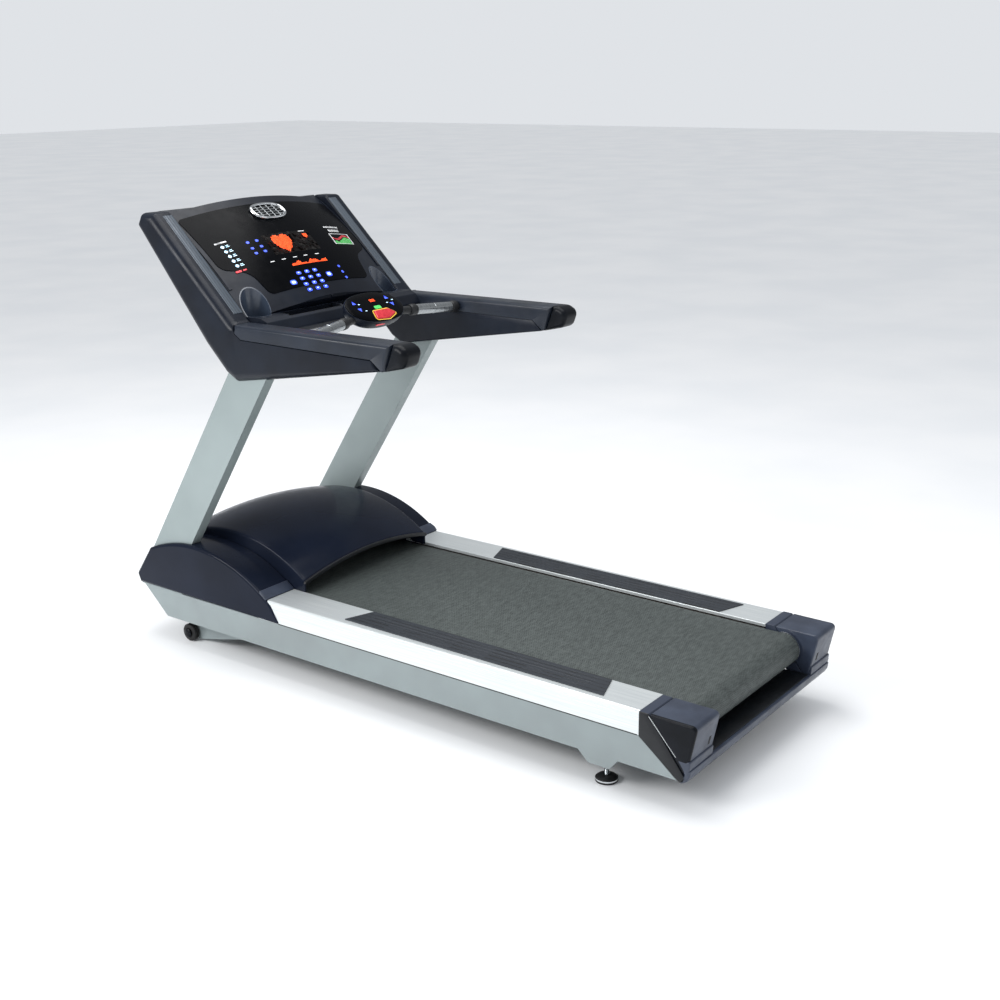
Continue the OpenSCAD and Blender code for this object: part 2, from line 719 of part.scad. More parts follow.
// Everything on the runner's side of the parting plane
module front_half(gap) translate([0, face_mid.x, face_mid.y]) rotate([face_slope, 0, 0])
    translate([-half_w, -420, -46 + gap]) cube([2 * half_w, 900, 300]);

module cup_cut(r, z0) both() translate([cup_x, cup_y, z0]) cylinder(h = 300, r = r);
cup_floor = 8 - cup_depth;
tray_half = cup_x - cup_r - 16;
module tray_cut(d) for (side = [0, 1]) mirror([side, 0, 0])
    translate([5 - d, -50 - d, -50 - d]) cube([tray_half - 5 + 2 * d, 44 + 2 * d, 120]);

module console_front() color("midnightblue") place() console() difference() {
    intersection() {
        difference() {
            console_solid(0);
            console_solid(shell_wall);
        }
        front_half(0);
    }
    cup_cut(cup_r + 3 + slip, cup_floor - 3);
    tray_cut(2 + slip);
    translate([0, face_mid.x, face_mid.y]) rotate([face_slope, 0, 0])
        fan_seat() translate([0, 0, -60]) linear_extrude(200) polygon(oval(64, 32));
}

module console_back() color("midnightblue") place() console() difference() {
    console_solid(0);
    console_solid(shell_wall);
    front_half(-0.2);
    // Ways in for the steel frame
    both() yz(arm_in - 20, 30) polygon([[90, -60], [130, -60], [400, 270], [392, 290],
        [352, 290], [90, 40]]);
}

module console_frame() color("dimgray") place() console() {
    both() yz(upright_x - 8, 8) polygon([[-100, -150], [20, -150], [110, -60], [156, -40],
        [156, 30], [100, 30], [20, -60], [-100, -90]]);
    cross_tube(130, -14, upright_x - 8, 36, 36);
}

overlay_t = 2;
overlay_outline = let (w = upper_half - 21,
    h = [[w, 178, 16], [w, -62, 40], [w - 86, -100, 70], [w - 106, -200, 24]])
    rounded([h[0], h[1], h[2], h[3], for (k = [3:-1:0]) [-h[k].x, h[k].y, h[k].z]]);
module console_overlay() color("black") place() face() difference() {
    intersection() {
        translate([0, 0, -60]) linear_extrude(140) polygon(overlay_outline);
        face_ball(overlay_t);
    }
    face_ball(0);
    fan_seat() translate([0, 0, -60]) linear_extrude(200) polygon(oval(75.5, 40.5));
}

module console_board() color("darkgreen") place() face() {
    translate([-210, -110, 0]) cube([420, 180, 2]);
    for (x = [-150, -40, 70]) translate([x, -60, -16]) cube([80, 90, 16]);
}

module trim_strips() color("silver") place() both() face() difference() {
    intersection() {
        translate([upper_half - 15, -140, -80]) cube([12, 340, 160]);
        face_ball(3);
    }
    face_ball(0);
}

// The fan's frame lies flat on the crowned face
module fan_seat() translate([0, 0, face_sink - face_r]) rotate([-asin(fan_v / face_r), 0, 0])
    translate([0, 0, face_r]) children();
module fan_bezel() color("silver") place() face() fan_seat() {
    difference() {
        linear_extrude(13) polygon(oval(75, 40));
        translate([0, 0, -over]) linear_extrude(20) polygon(oval(63, 31));
    }
    intersection() {
        translate([0, 0, 3]) linear_extrude(6) union() {
            for (y = [-16, 0, 16]) translate([-80, y - 1.5]) square([160, 3]);
            for (x = [-36, -12, 12, 36]) translate([x - 2, -50]) square([4, 100]);
        }
        linear_extrude(20) polygon(oval(64, 32));
    }
}

fan_shaft_r = 3;
module fan_motor() color("dimgray") place() face() fan_seat() {
    translate([0, 0, -66]) cylinder(h = 28, r = 16);
    translate([0, 0, -66]) cylinder(h = 52, r = fan_shaft_r);
    translate([-60, -4, -69]) cube([120, 8, 4]);
}

module fan_impeller() color("black") place() face() fan_seat()
    translate([0, 0, -32]) difference() {
        union() {
            cylinder(h = 18, r = 12);
            for (k = [0:6]) rotate([0, 0, k * 360 / 7])
                translate([8, -1.2, 2]) cube([20, 2.4, 14]);
        }
        translate([0, 0, -over]) cylinder(h = 22, r = fan_shaft_r + run_fit);
    }

module bottle_holders() color("black") place() console() intersection() {
    difference() {
        cup_cut(cup_r + 3, cup_floor - 2.5);
        cup_cut(cup_r, cup_floor);
    }
    console_solid(0);
}

module tray_liner() color("black") place() console() intersection() {
    difference() {
        tray_cut(2);
        tray_cut(0);
    }
    yz(-upper_half, 2 * upper_half) polygon(tray);
}

// ---- Handlebar and its pod ----

bar_mid = [88, -192, -15];
bar_out = bar_mid + (arm_in + 6 - bar_mid.x) * [1, -0.2, -0.058];
// A length of the sloping bar, given by two distances from the middle plane
module bar_part(x0, x1, r) {
    dir = bar_out - bar_mid;
    bar(bar_mid + dir * (x0 - bar_mid.x) / dir.x, bar_mid + dir * (x1 - bar_mid.x) / dir.x, r);
}
grip_span = [182, arm_in - 30];
// The straight stretch inside the pod
module pod_rod(r) translate([0, bar_mid.y, bar_mid.z]) rod(-bar_mid.x - 4, bar_mid.x + 4, r);

module handlebar() color("black") place() console() {
    pod_rod(bar_r + 0.6);
    both() {
        bar_part(bar_mid.x, bar_out.x, bar_r);
        bar_part(grip_span[1], arm_in - 7, grip_r + 3);
        bar_part(grip_span[0] - 26, grip_span[0], grip_r + 2);
    }
}

module pulse_grips() color("silver") place() both() console() difference() {
    bar_part(grip_span[0] + slip, grip_span[1] - slip, grip_r);
    bar_part(grip_span[0] - 9, grip_span[1] + 9, bar_r + seat_fit);
}

pod_half = [126, 68];
module pod_bowl(d) hull() {
    translate([0, 0, -3]) linear_extrude(3) polygon(oval(pod_half.x - d, pod_half.y - d, 2.3, 40));
    translate([0, 0, d - 44]) linear_extrude(3)
        polygon(oval(pod_half.x - 40 - d, pod_half.y - 22 - d, 2.3, 40));
}
stem = [8, -44];
stem_r = 5;
module pod_base() color("midnightblue") place() {
    pod() difference() {
        union() {
            difference() {
                pod_bowl(0);
                translate([0, 0, 0.2]) pod_bowl(3);
            }
            translate([stem.x, stem.y, -42]) cylinder(h = 20, r = 8);
        }
        translate([stem.x, stem.y, -39]) cylinder(h = 30, r = stem_r + run_fit);
        rotate([-pod_tilt, 0, 0]) translate([0, -pod_mid.x, -pod_mid.y]) {
            both() bar_part(bar_mid.x, bar_out.x, bar_r + 1);
            pod_rod(bar_r + 1.6);
        }
    }
}

stop_outline = [[-26, -20], [42, -20], [62, -44], [14, -62], [-40, -56]];
module pod_overlay() color("black") place() pod() difference() {
    linear_extrude(2) polygon(oval(pod_half.x - 3, pod_half.y - 3, 2.3));
    translate([0, 0, -over]) linear_extrude(4) polygon(inset([for (k = [4:-1:0]) stop_outline[k]],
        -1));
}

module stop_button() color("red") place() pod() {
    translate([0, 0, -2.5]) linear_extrude(9) polygon(stop_outline);
    translate([stem.x, stem.y, -33]) cylinder(h = 32, r = stem_r);
}

// ---- Lift and feet ----

module lift_frame() color("silver") place() {
    lug = [lift_x - tube_r - 8, lift_x + tube_r + 2];
    both() difference() {
        union() {
            yz(arm_plate_x, 8) polygon([[back(wheel_n - 24), wheel_r - 20],
                [back(wheel_n - 24), wheel_r + 26], [back(wheel_n - 8), wheel_r + 32],
                [back(pivot_n - 6), pivot_z + 13], [back(pivot_n), pivot_z - 13],
                [back(wheel_n + 40), wheel_r - 23], [back(wheel_n), wheel_r - 24]]);
            translate([0, back(pivot_n), pivot_z]) rod(arm_plate_x, arm_plate_x + 8, 14);
            // Stub axle and its head
            translate([0, back(wheel_n), wheel_r]) {
                rod(arm_plate_x + 4, arm_plate_x + 14 + wheel_w, pin_r);
                rod(arm_plate_x + 13 + wheel_w, arm_plate_x + 17 + wheel_w, pin_r + 6);
            }
        }
        translate([0, back(pivot_n), pivot_z])
            rod(arm_plate_x - over, arm_plate_x + 9, pin_r + run_fit);
    }
    cross_tube(back(lug_n), lug_z - 54, arm_plate_x, 36, 34);
    // Lugs and pin for the lift tube
    for (x = lug) translate([x, back(lug_n) - 13, lug_z - 23]) cube([6, 26, 33]);
    translate([0, back(lug_n), lug_z]) rod(lug[0], lug[1] + 6, pin_r);
}

module wheel() translate([arm_plate_x + 10.5, back(wheel_n), wheel_r]) rotate([0, 90, 0])
    rotate_extrude() polygon([[pin_r + run_fit, 0], [wheel_r - 5, 0], [wheel_r, 2],
        [wheel_r, wheel_w * 0.42], [wheel_r - 4, wheel_w * 0.45], [wheel_r - 4, wheel_w * 0.55],
        [wheel_r, wheel_w * 0.58], [wheel_r, wheel_w - 2], [wheel_r - 5, wheel_w],
        [pin_r + run_fit, wheel_w]]);
module wheel_left() color("black") place() left() wheel();
module wheel_right() color("black") place() wheel();

// Frame of the lift motor: origin at its pivot, -Z towards the lift frame's lug
module lift_axis() translate([lift_x, back(clevis_n), clevis_z]) rotate([lift_tilt, 0, 0])
    children();

tube_r = 14;
screw_r = 8;
module lift_motor() color("dimgray") place() lift_axis() {
    difference() {
        union() {
            rod(-12, 12, 15);
            translate([-12, -12, -24]) cube([24, 24, 24]);
        }
        rod(-13, 13, pin_r + run_fit);
    }
    translate([-36, -30, -66]) cube([80, 60, 44]);
    translate([76, 0, -150]) cylinder(h = 138, r = 31);
    translate([36, -12, -60]) cube([20, 24, 30]);
    translate([0, 0, 20 - lift_reach]) cylinder(h = lift_reach - 84, r = screw_r);
}

module lift_tube() color("silver") place() lift_axis() difference() {
    union() {
        translate([0, 0, 14 - lift_reach]) cylinder(h = lift_reach - 84, r = tube_r);
        translate([0, 0, -lift_reach]) rod(-12, 12, pin_r + eye_play + 6);
    }
    translate([0, 0, 18 - lift_reach]) cylinder(h = lift_reach, r = screw_r + run_fit);
    translate([0, 0, -lift_reach]) rod(-13, 13, pin_r + eye_play);
}

module foot() translate([foot_x, foot_y, 0]) {
    rotate_extrude() polygon([[0, 0], [foot_r - 2, 0], [foot_r, 2], [foot_r, 10],
        [foot_r - 6, 15], [14, 18], [0, 18]]);
    cylinder(h = frame_z + 18, r = stud_r);
    translate([0, 0, frame_z - 44]) cylinder(h = 11.8, r = 13, $fn = 6);
}
module foot_left() color("silver") place() left() foot();
module foot_right() color("silver") place() foot();

frame_side_left();
frame_side_right();
frame_cross();
lift_bridge();
side_rail_left();
side_rail_right();
foot_strips();
deck_board();
deck_cushions();
running_belt();
roller_shafts();
roller_brackets();
roller_bearings();
motor_body();
drive_belt();
motor_controller();
power_inlet();
motor_hood();
side_cover_left();
side_cover_right();
front_panel();
end_cap_left();
end_cap_right();
rear_bumper();
tension_bolts();
upright_left();
upright_right();
upright_bolts();
console_frame();
console_back();
console_front();
console_overlay();
console_board();
trim_strips();
fan_bezel();
fan_motor();
side_shell_left();
side_shell_right();
grip_cap_left();
grip_cap_right();
arm_end_caps();
bottle_holders();
tray_liner();
handlebar();
pulse_grips();
pod_base();
pod_overlay();
front_roller();
rear_roller();
motor_rotor();
lift_frame();
wheel_left();
wheel_right();
lift_motor();
lift_tube();
foot_left();
foot_right();
stop_button();
fan_impeller();
power_switch();
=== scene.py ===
# %% [markdown]
# # A motorised treadmill, dressed for rendering
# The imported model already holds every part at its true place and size, in metres, with the rear end at
# low Y, the nose at high Y and the floor at zero. This lesson keeps that frame, gives each part the
# surface it really has, and remakes the soft-edged plastic and rubber parts as curved surfaces, because
# moulded parts are never sharp and their edges are what catches the light.

# %% Load the frame
import json
import math
from types import SimpleNamespace
import bmesh
import bpy
import numpy as np
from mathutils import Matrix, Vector


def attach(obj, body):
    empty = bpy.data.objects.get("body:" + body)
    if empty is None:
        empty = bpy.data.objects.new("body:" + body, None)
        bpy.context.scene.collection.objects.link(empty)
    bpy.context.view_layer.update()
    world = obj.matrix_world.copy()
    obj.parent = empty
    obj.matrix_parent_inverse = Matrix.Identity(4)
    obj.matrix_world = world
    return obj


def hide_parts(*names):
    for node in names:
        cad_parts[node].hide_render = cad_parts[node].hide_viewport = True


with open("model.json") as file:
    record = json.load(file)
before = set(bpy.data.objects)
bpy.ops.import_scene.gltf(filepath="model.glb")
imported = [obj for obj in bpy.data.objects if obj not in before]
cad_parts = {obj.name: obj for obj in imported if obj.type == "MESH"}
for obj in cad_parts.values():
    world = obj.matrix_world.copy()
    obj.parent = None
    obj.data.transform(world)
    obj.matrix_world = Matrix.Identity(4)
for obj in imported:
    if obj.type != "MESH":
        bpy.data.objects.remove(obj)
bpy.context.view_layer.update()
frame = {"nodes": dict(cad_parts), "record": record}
home = {node: body for body, nodes in frame["record"]["behaviour"]["bodies"].items() for node in nodes}
MM = 0.001


# %% [markdown]
# ## The view and the studio
# A product picture is taken from the runner's left, a little above the console, with a short telephoto.
# The camera's axes are built from three angles (the way it points, how far it looks down, and a slight
# roll), so that each number keeps its meaning. A pale floor and large soft lamps stand in for a studio.

# %% Camera
scene = bpy.context.scene
turn_left, look_down, roll = (math.radians(a) for a in (-53.29, 17.15, -0.54))
level_right = np.array([math.cos(turn_left), math.sin(turn_left), 0])
forward = np.array([-math.sin(turn_left) * math.cos(look_down),
                    math.cos(turn_left) * math.cos(look_down), -math.sin(look_down)])
level_up = np.cross(level_right, forward)
right = math.cos(roll) * level_right + math.sin(roll) * level_up
up = math.cos(roll) * level_up - math.sin(roll) * level_right
camera = bpy.data.objects.new("camera", bpy.data.cameras.new("camera"))
camera.data.lens = 50.05
camera.data.sensor_width = 36
turned = np.eye(4)
turned[:3, :3] = np.stack([right, up, -forward], 1)
turned[:3, 3] = (-3.363, -2.661, 1.898)
camera.matrix_world = turned.T.tolist()
scene.collection.objects.link(camera)
scene.camera = camera
print("camera at", [round(v, 3) for v in camera.matrix_world.translation])


# %% Lamps and daylight
def softbox(name, place, aim, size, watts):
    """A rectangular lamp, size metres across, at place and facing the point aim."""
    lamp = bpy.data.lights.new(name, "AREA")
    lamp.shape = "RECTANGLE"
    lamp.size, lamp.size_y = size
    lamp.energy = watts
    box = bpy.data.objects.new(name, lamp)
    box.location = place
    box.rotation_mode = "QUATERNION"
    box.rotation_quaternion = (Vector(aim) - Vector(place)).to_track_quat("-Z", "Y")
    scene.collection.objects.link(box)


softbox("side lamp", (-3.9, 1.9, 3.1), (0, 0.1, 0.6), (3.0, 1.6), 150)
softbox("top lamp", (0.2, 0.4, 4.2), (0, 0, 0.5), (2.4, 3.4), 95)
softbox("rear lamp", (1.2, -4.6, 2.6), (0, -0.2, 0.4), (2.4, 1.6), 14)
world = bpy.data.worlds.new("studio")
scene.world = world
world.use_nodes = True
sky = world.node_tree.nodes["Background"]
sky.inputs["Color"].default_value = (0.93, 0.96, 1.0, 1)
# The sky is dimmer where it is only mirrored, as a dark studio behind the lamps would be
open_sky, mirrored_sky = 0.8, 0.35
ray = world.node_tree.nodes.new("ShaderNodeLightPath")
dim = world.node_tree.nodes.new("ShaderNodeMapRange")
dim.inputs["To Min"].default_value = open_sky
dim.inputs["To Max"].default_value = mirrored_sky
world.node_tree.links.new(ray.outputs["Is Glossy Ray"], dim.inputs["Value"])
world.node_tree.links.new(dim.outputs["Result"], sky.inputs["Strength"])
scene.view_settings.view_transform = "Standard"


# %% [markdown]
# ## Small tools for surfaces
# Almost every shell here is one of four things: an outline with rounded corners carried across the
# machine with its own edges rounded, a profile turned about an axle, a round section carried along a
# path, or a free grid. Each tool works out whole arrays of points and the corners of every cell, and
# one function turns those arrays into a mesh with its doubles merged and its faces pointing outwards.

# %% From arrays to a piece
def grid_faces(rows, columns, wrap_rows=False, wrap_columns=True, capped=False):
    """Corner numbers of each cell of a grid of points that is counted row by row. If capped, one more
    face closes the first row and another the last."""
    r, c = np.meshgrid(np.arange(rows if wrap_rows else rows - 1),
                       np.arange(columns if wrap_columns else columns - 1), indexing="ij")
    r2, c2 = (r + 1) % rows, (c + 1) % columns
    cells = [r * columns + c, r * columns + c2, r2 * columns + c2, r2 * columns + c]
    faces = np.stack(cells, -1).reshape(-1, 4).tolist()
    if capped:
        faces += [list(range(columns)), list(range((rows - 1) * columns, rows * columns))]
    return faces


def piece(name, points, faces, finish, body="base", stands_for=None, smooth=38, along=None):
    """Makes one object from points in millimetres, merges its doubles, turns its faces outwards, and
    rides it on its body. along is an optional number for each point, kept for patterns."""
    mesh = bpy.data.meshes.new(name)
    mesh.from_pydata((np.asarray(points, float).reshape(-1, 3) * MM).tolist(), [], faces)
    if along is not None:
        mesh.attributes.new("along", "FLOAT", "POINT").data.foreach_set("value", np.ravel(along))
    work = bmesh.new()
    work.from_mesh(mesh)
    bmesh.ops.remove_doubles(work, verts=work.verts, dist=2e-6)
    bmesh.ops.recalc_face_normals(work, faces=work.faces)
    work.to_mesh(mesh)
    work.free()
    mesh.shade_smooth()
    mesh.set_sharp_from_angle(angle=math.radians(smooth))
    mesh.materials.append(finish.material)
    made = bpy.data.objects.new(name, mesh)
    scene.collection.objects.link(made)
    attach(made, body)
    if stands_for:
        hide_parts(stands_for)
    print(f"{name}: {len(mesh.polygons)} faces")
    return made


# %% Outlines and slabs
def unit(v):
    """Each row at length one."""
    return v / np.linalg.norm(v, axis=-1, keepdims=True)


def rounded_outline(corners, inset=0.0, steps=6):
    """Rows of (u, v, radius) going anticlockwise. Each corner moves inwards along its mitre by inset,
    then an arc of what is left of its radius is fitted between its two sides: it starts a tangent
    length r tan(turn / 2) before the corner and turns about a centre r to the side."""
    p, r = corners[:, :2], corners[:, 2]
    before, after = unit(p - np.roll(p, 1, 0)), unit(np.roll(p, -1, 0) - p)
    left_b = np.stack([-before[:, 1], before[:, 0]], 1)
    left_a = np.stack([-after[:, 1], after[:, 0]], 1)
    inset = np.broadcast_to(inset, len(p))
    q = p + (left_b + left_a) * (inset / (1 + (left_b * left_a).sum(1)))[:, None]
    turn = np.arctan2(before[:, 0] * after[:, 1] - before[:, 1] * after[:, 0],
                      (before * after).sum(1))
    r = np.clip(r - np.sign(turn) * inset, 0, None)
    painted_shade_side = np.sign(turn)[:, None] * left_b * r[:, None]
    centre = q - before * (r * np.tan(np.abs(turn) / 2))[:, None] + painted_shade_side
    angle = turn[:, None] * np.linspace(0, 1, steps + 1)[None]
    cos, sin = np.cos(angle), np.sin(angle)
    arm = -painted_shade_side[:, None, :]
    arcs = np.stack([arm[..., 0] * cos - arm[..., 1] * sin,
                     arm[..., 0] * sin + arm[..., 1] * cos], -1)
    return (centre[:, None, :] + arcs).reshape(-1, 2)


def slab(corners, low, high, edges=(0, 0), axes="yzx", steps=6):
    """An outline carried from low to high. Near each end, ring t (0 to 90 degrees) is drawn in by
    edge (1 - sin t) and stands edge (1 - cos t) from the end. A fourth number in a corner's row is the
    share of the edge that this corner takes. axes says where the outline's two directions and the way
    across it lie."""
    corners = np.asarray(corners, float)
    share = corners[:, 3] if corners.shape[1] > 3 else np.ones(len(corners))
    t = np.linspace(0, np.pi / 2, steps + 1)
    first = [(edges[0] * (1 - math.sin(a)), low + edges[0] * (1 - math.cos(a))) for a in t]
    last = [(edges[1] * (1 - math.sin(a)), high - edges[1] * (1 - math.cos(a))) for a in t]
    rings = (first if edges[0] else [(0, low)]) + (last[::-1] if edges[1] else [(0, high)])
    flat = np.stack([rounded_outline(corners, inset * share) for inset, _ in rings])
    across = np.broadcast_to(np.array([w for _, w in rings])[:, None, None], flat.shape[:2] + (1,))
    made = np.concatenate([flat, across], 2)
    points = np.empty_like(made)
    for k, letter in enumerate(axes):
        points[..., "xyz".index(letter)] = made[..., k]
    return points, grid_faces(*flat.shape[:2], capped=True)


def mirrored(points):
    """The same points on the other side of the machine."""
    return np.asarray(points) * np.array([-1, 1, 1])


# %% Turned and swept parts
def lathe(profile, centre, axis="x", steps=56, closed=False):
    """Rows of (along, radius) turned once about an axis through centre."""
    profile = np.asarray(profile, float)
    a = np.linspace(0, 2 * np.pi, steps, endpoint=False)
    ring = np.stack([np.broadcast_to(profile[:, :1], (len(profile), steps)),
                     profile[:, 1:] * np.cos(a), profile[:, 1:] * np.sin(a)], -1)
    order = {"x": (0, 1, 2), "y": (2, 0, 1), "z": (1, 2, 0)}[axis]
    return ring[..., order] + np.asarray(centre), grid_faces(len(profile), steps, wrap_rows=closed)


def tube(path, radius, sides=28):
    """A round section carried along a path, closed at both ends with a flat face. Its two directions are
    the path's direction crossed with the upright, and that crossed with the path again."""
    ahead = unit(np.gradient(path, axis=0))
    painted_shade_side = unit(np.cross(ahead, (0.0, 0.0, 1.0)))
    over = np.cross(painted_shade_side, ahead)
    a = np.linspace(0, 2 * np.pi, sides, endpoint=False)[None, :, None]
    radius = np.broadcast_to(radius, len(path))[:, None, None]
    points = path[:, None] + radius * (painted_shade_side[:, None] * np.cos(a) + over[:, None] * np.sin(a))
    return points, grid_faces(len(path), sides, capped=True)


def join(*parts):
    """Several (points, faces) as one."""
    points, faces, count = [], [], 0
    for p, f in parts:
        p = np.asarray(p, float).reshape(-1, 3)
        points.append(p)
        faces += [[i + count for i in face] for face in f]
        count += len(p)
    return np.concatenate(points), faces


def both(points, faces):
    """A part and its mirror image, as one."""
    return join((points, faces), (mirrored(points), faces))


def tilted(flat, height, centre, along, out):
    """Points given as x, a distance along a tilted plane and a height out of it."""
    flat = np.asarray(flat, float)
    height = np.broadcast_to(height, flat.shape[:-1])[..., None]
    return flat[..., :1] * (1, 0, 0) + flat[..., 1:] * along + height * out + centre


def oval(a, b, power=2.6, steps=96):
    """A superellipse: a squarish ring of half sizes a and b."""
    t = np.linspace(0, 2 * np.pi, steps, endpoint=False)
    c, s = np.cos(t), np.sin(t)
    return np.stack([a * np.sign(c) * np.abs(c) ** (2 / power),
                     b * np.sign(s) * np.abs(s) ** (2 / power)], 1)


SIDES = (("right", np.asarray), ("left", mirrored))
print("tools ready")


# %% [markdown]
# ## Small tools for finishes
# A finish starts as one shader with its common numbers. What makes it believable is what varies: colour
# that drifts in clouds, a grain too fine to see singly, and a gloss that is not the same everywhere. All
# patterns are laid out in millimetres on the object's own coordinates, so they stay put in any view.

# %% Nodes and colours
def linear(hexed):
    """An sRGB hex colour made linear: a channel c is c / 12.92 when small, else
    ((c + 0.055) / 1.055) to the power 2.4."""
    c = np.array([int(hexed[k:k + 2], 16) for k in (1, 3, 5)]) / 255
    c = np.where(c <= 0.04045, c / 12.92, ((c + 0.055) / 1.055) ** 2.4)
    return (*c.tolist(), 1.0)


def add(m, kind, values=None, links=None, **settings):
    """Adds one shader node with its settings, its fixed values and the outputs that feed it."""
    node = m.tree.nodes.new("ShaderNode" + kind)
    for key, value in settings.items():
        setattr(node, key, value)
    for key, value in (values or {}).items():
        node.inputs[key].default_value = value
    for key, out in (links or {}).items():
        m.tree.links.new(out, node.inputs[key])
    return node


def calc(m, operation, first, second=None):
    """One step of arithmetic on an output, with a number or another output."""
    fed = {0: first} if second is None or isinstance(second, (int, float)) else {0: first, 1: second}
    return add(m, "Math", {1: second} if len(fed) == 1 and second is not None else None, fed,
               operation=operation).outputs[0]


def finish(name, slot, colour, roughness, metallic=0.0, **sockets):
    """Starts a material: one shader, and the object's coordinates in millimetres."""
    material = bpy.data.materials.new(name)
    material.use_nodes = True
    m = SimpleNamespace(material=material, tree=material.node_tree, slot=slot, normal=None)
    m.shader = m.tree.nodes["Principled BSDF"]
    m.shader.inputs["Base Color"].default_value = linear(colour)
    m.shader.inputs["Roughness"].default_value = roughness
    m.shader.inputs["Metallic"].default_value = metallic
    for key, value in sockets.items():
        m.shader.inputs[key.replace("_", " ")].default_value = value
    spot = add(m, "TexCoord")
    m.place = add(m, "VectorMath", {1: (1000, 1000, 1000)}, {0: spot.outputs["Object"]},
                  operation="MULTIPLY").outputs[0]
    return m


# %% Clouds, grain and gloss
def clouds(m, size, stretch=(1, 1, 1), detail=3.0):
    """Soft noise whose clouds are about size millimetres across, stretched along each axis."""
    scaled = add(m, "VectorMath", {1: tuple(1 / (size * s) for s in stretch)}, {0: m.place},
                 operation="MULTIPLY")
    return add(m, "TexNoise", {"Scale": 1.0, "Detail": detail}, {"Vector": scaled.outputs[0]}).outputs[0]


def between(m, amount, low, high, start=0.35, stop=0.65):
    """A number that goes from low to high as amount goes from start to stop."""
    return add(m, "MapRange", {1: start, 2: stop, 3: low, 4: high}, {0: amount}).outputs[0]


def drift(m, amount, first, second, start=0.35, stop=0.65):
    """Lets the base colour go from one hex colour to another as amount rises."""
    blend = add(m, "Mix", {6: linear(first), 7: linear(second)},
                {0: between(m, amount, 0, 1, start, stop)}, data_type="RGBA")
    m.tree.links.new(blend.outputs[2], m.shader.inputs["Base Color"])
    return blend


def bump(m, amount, height):
    """Raises the surface by up to height millimetres where amount is high, on top of earlier bumps."""
    links = {"Height": amount}
    if m.normal:
        links["Normal"] = m.normal
    node = add(m, "Bump", {"Strength": 1.0, "Distance": height * MM}, links)
    m.normal = node.outputs[0]
    m.tree.links.new(m.normal, m.shader.inputs["Normal"])


def gloss(m, amount, low, high, start=0.35, stop=0.65):
    """Lets the roughness drift between two values."""
    m.tree.links.new(between(m, amount, low, high, start, stop), m.shader.inputs["Roughness"])


def mottled(name, slot, colour, roughness, tones=None, shine=None, grain=None, **sockets):
    """A finish that varies over clouds. tones, shine and grain each begin with the clouds' size in
    millimetres, then give the two colours, the two roughnesses or the height of the bumps."""
    m = finish(name, slot, colour, roughness, **sockets)
    for lay, told in ((drift, tones), (gloss, shine), (bump, grain)):
        if told:
            lay(m, clouds(m, told[0]), *told[1:])
    return m


def brushed(name, slot, colour, roughness, metallic, streak, shine, tones=None):
    """Metal with fine streaks: streak gives their size and stretch, shine the two roughnesses."""
    m = finish(name, slot, colour, roughness, metallic)
    streaks = clouds(m, *streak)
    if tones:
        drift(m, streaks, *tones)
    gloss(m, streaks, *shine)
    bump(m, streaks, 0.02)
    return m


print("finish tools ready")


# %% [markdown]
# ## Painted and bare metal
# The frame and the uprights are steel tube in a silver powder coat: a cured plastic film full of fine
# metal flakes, satin, slightly greenish, with an orange-peel skin. The rails are extruded aluminium,
# brushed lengthways and clear anodised, so their streaks run along the machine and they look nearly
# white. Rollers and shafts are turned, so their marks run round them.

# %% Powder coats
frame_coat = mottled(
    "silver powder coat", "frame_silver", "#8c9696", 0.42, (240, "#878f90", "#909a9b"),
    (90, 0.36, 0.48), (1.6, 0.03), metallic=0.25)
upright_coat = mottled(
    "pale silver powder coat", "upright_silver", "#909b9b", 0.42, (300, "#8c9797", "#949f9f"),
    (90, 0.34, 0.46), (1.6, 0.03), metallic=0.2)
black_paint = mottled(
    "black painted steel", "dark_steel", "#1c1d20", 0.45, (60, "#18191c", "#24262a"),
    None, (2.0, 0.05), metallic=0.2)
print("powder coats", frame_coat.material.name, "and", upright_coat.material.name)

# %% Aluminium, steel and chrome
rail_metal = brushed("brushed anodised aluminium", "rail_aluminium", "#dde2e3", 0.34, 0.55,
                     (1.2, (1, 160, 1)), (0.28, 0.4), ("#d3d9da", "#e6eaea"))
steel = brushed("turned steel", "steel", "#b9bcbd", 0.26, 1.0, (1.4, (1, 60, 60)), (0.2, 0.36))
grip_steel = brushed("satin stainless steel", "grip_chrome", "#a9adaf", 0.3, 1.0,
                     (1.2, (1, 40, 40)), (0.24, 0.4))
chrome = mottled("polished chrome", "chrome", "#dfe2e4", 0.1, None, (30, 0.06, 0.14), metallic=1.0)
heatsink = finish("extruded aluminium", "heatsink_aluminium", "#8d9295", 0.4, 0.9)
bump(heatsink, clouds(heatsink, 1.5, (40, 1, 1)), 0.04)
print("metals ready")

# %% [markdown]
# ## Moulded plastics
# The motor covers are injection-moulded ABS with a polished skin, dark navy and mirror-smooth except for
# the faint ripple that every moulding has. The console and arms are the same plastic from a mould with a
# fine spark-eroded texture, so their highlights are broad and blue-grey.

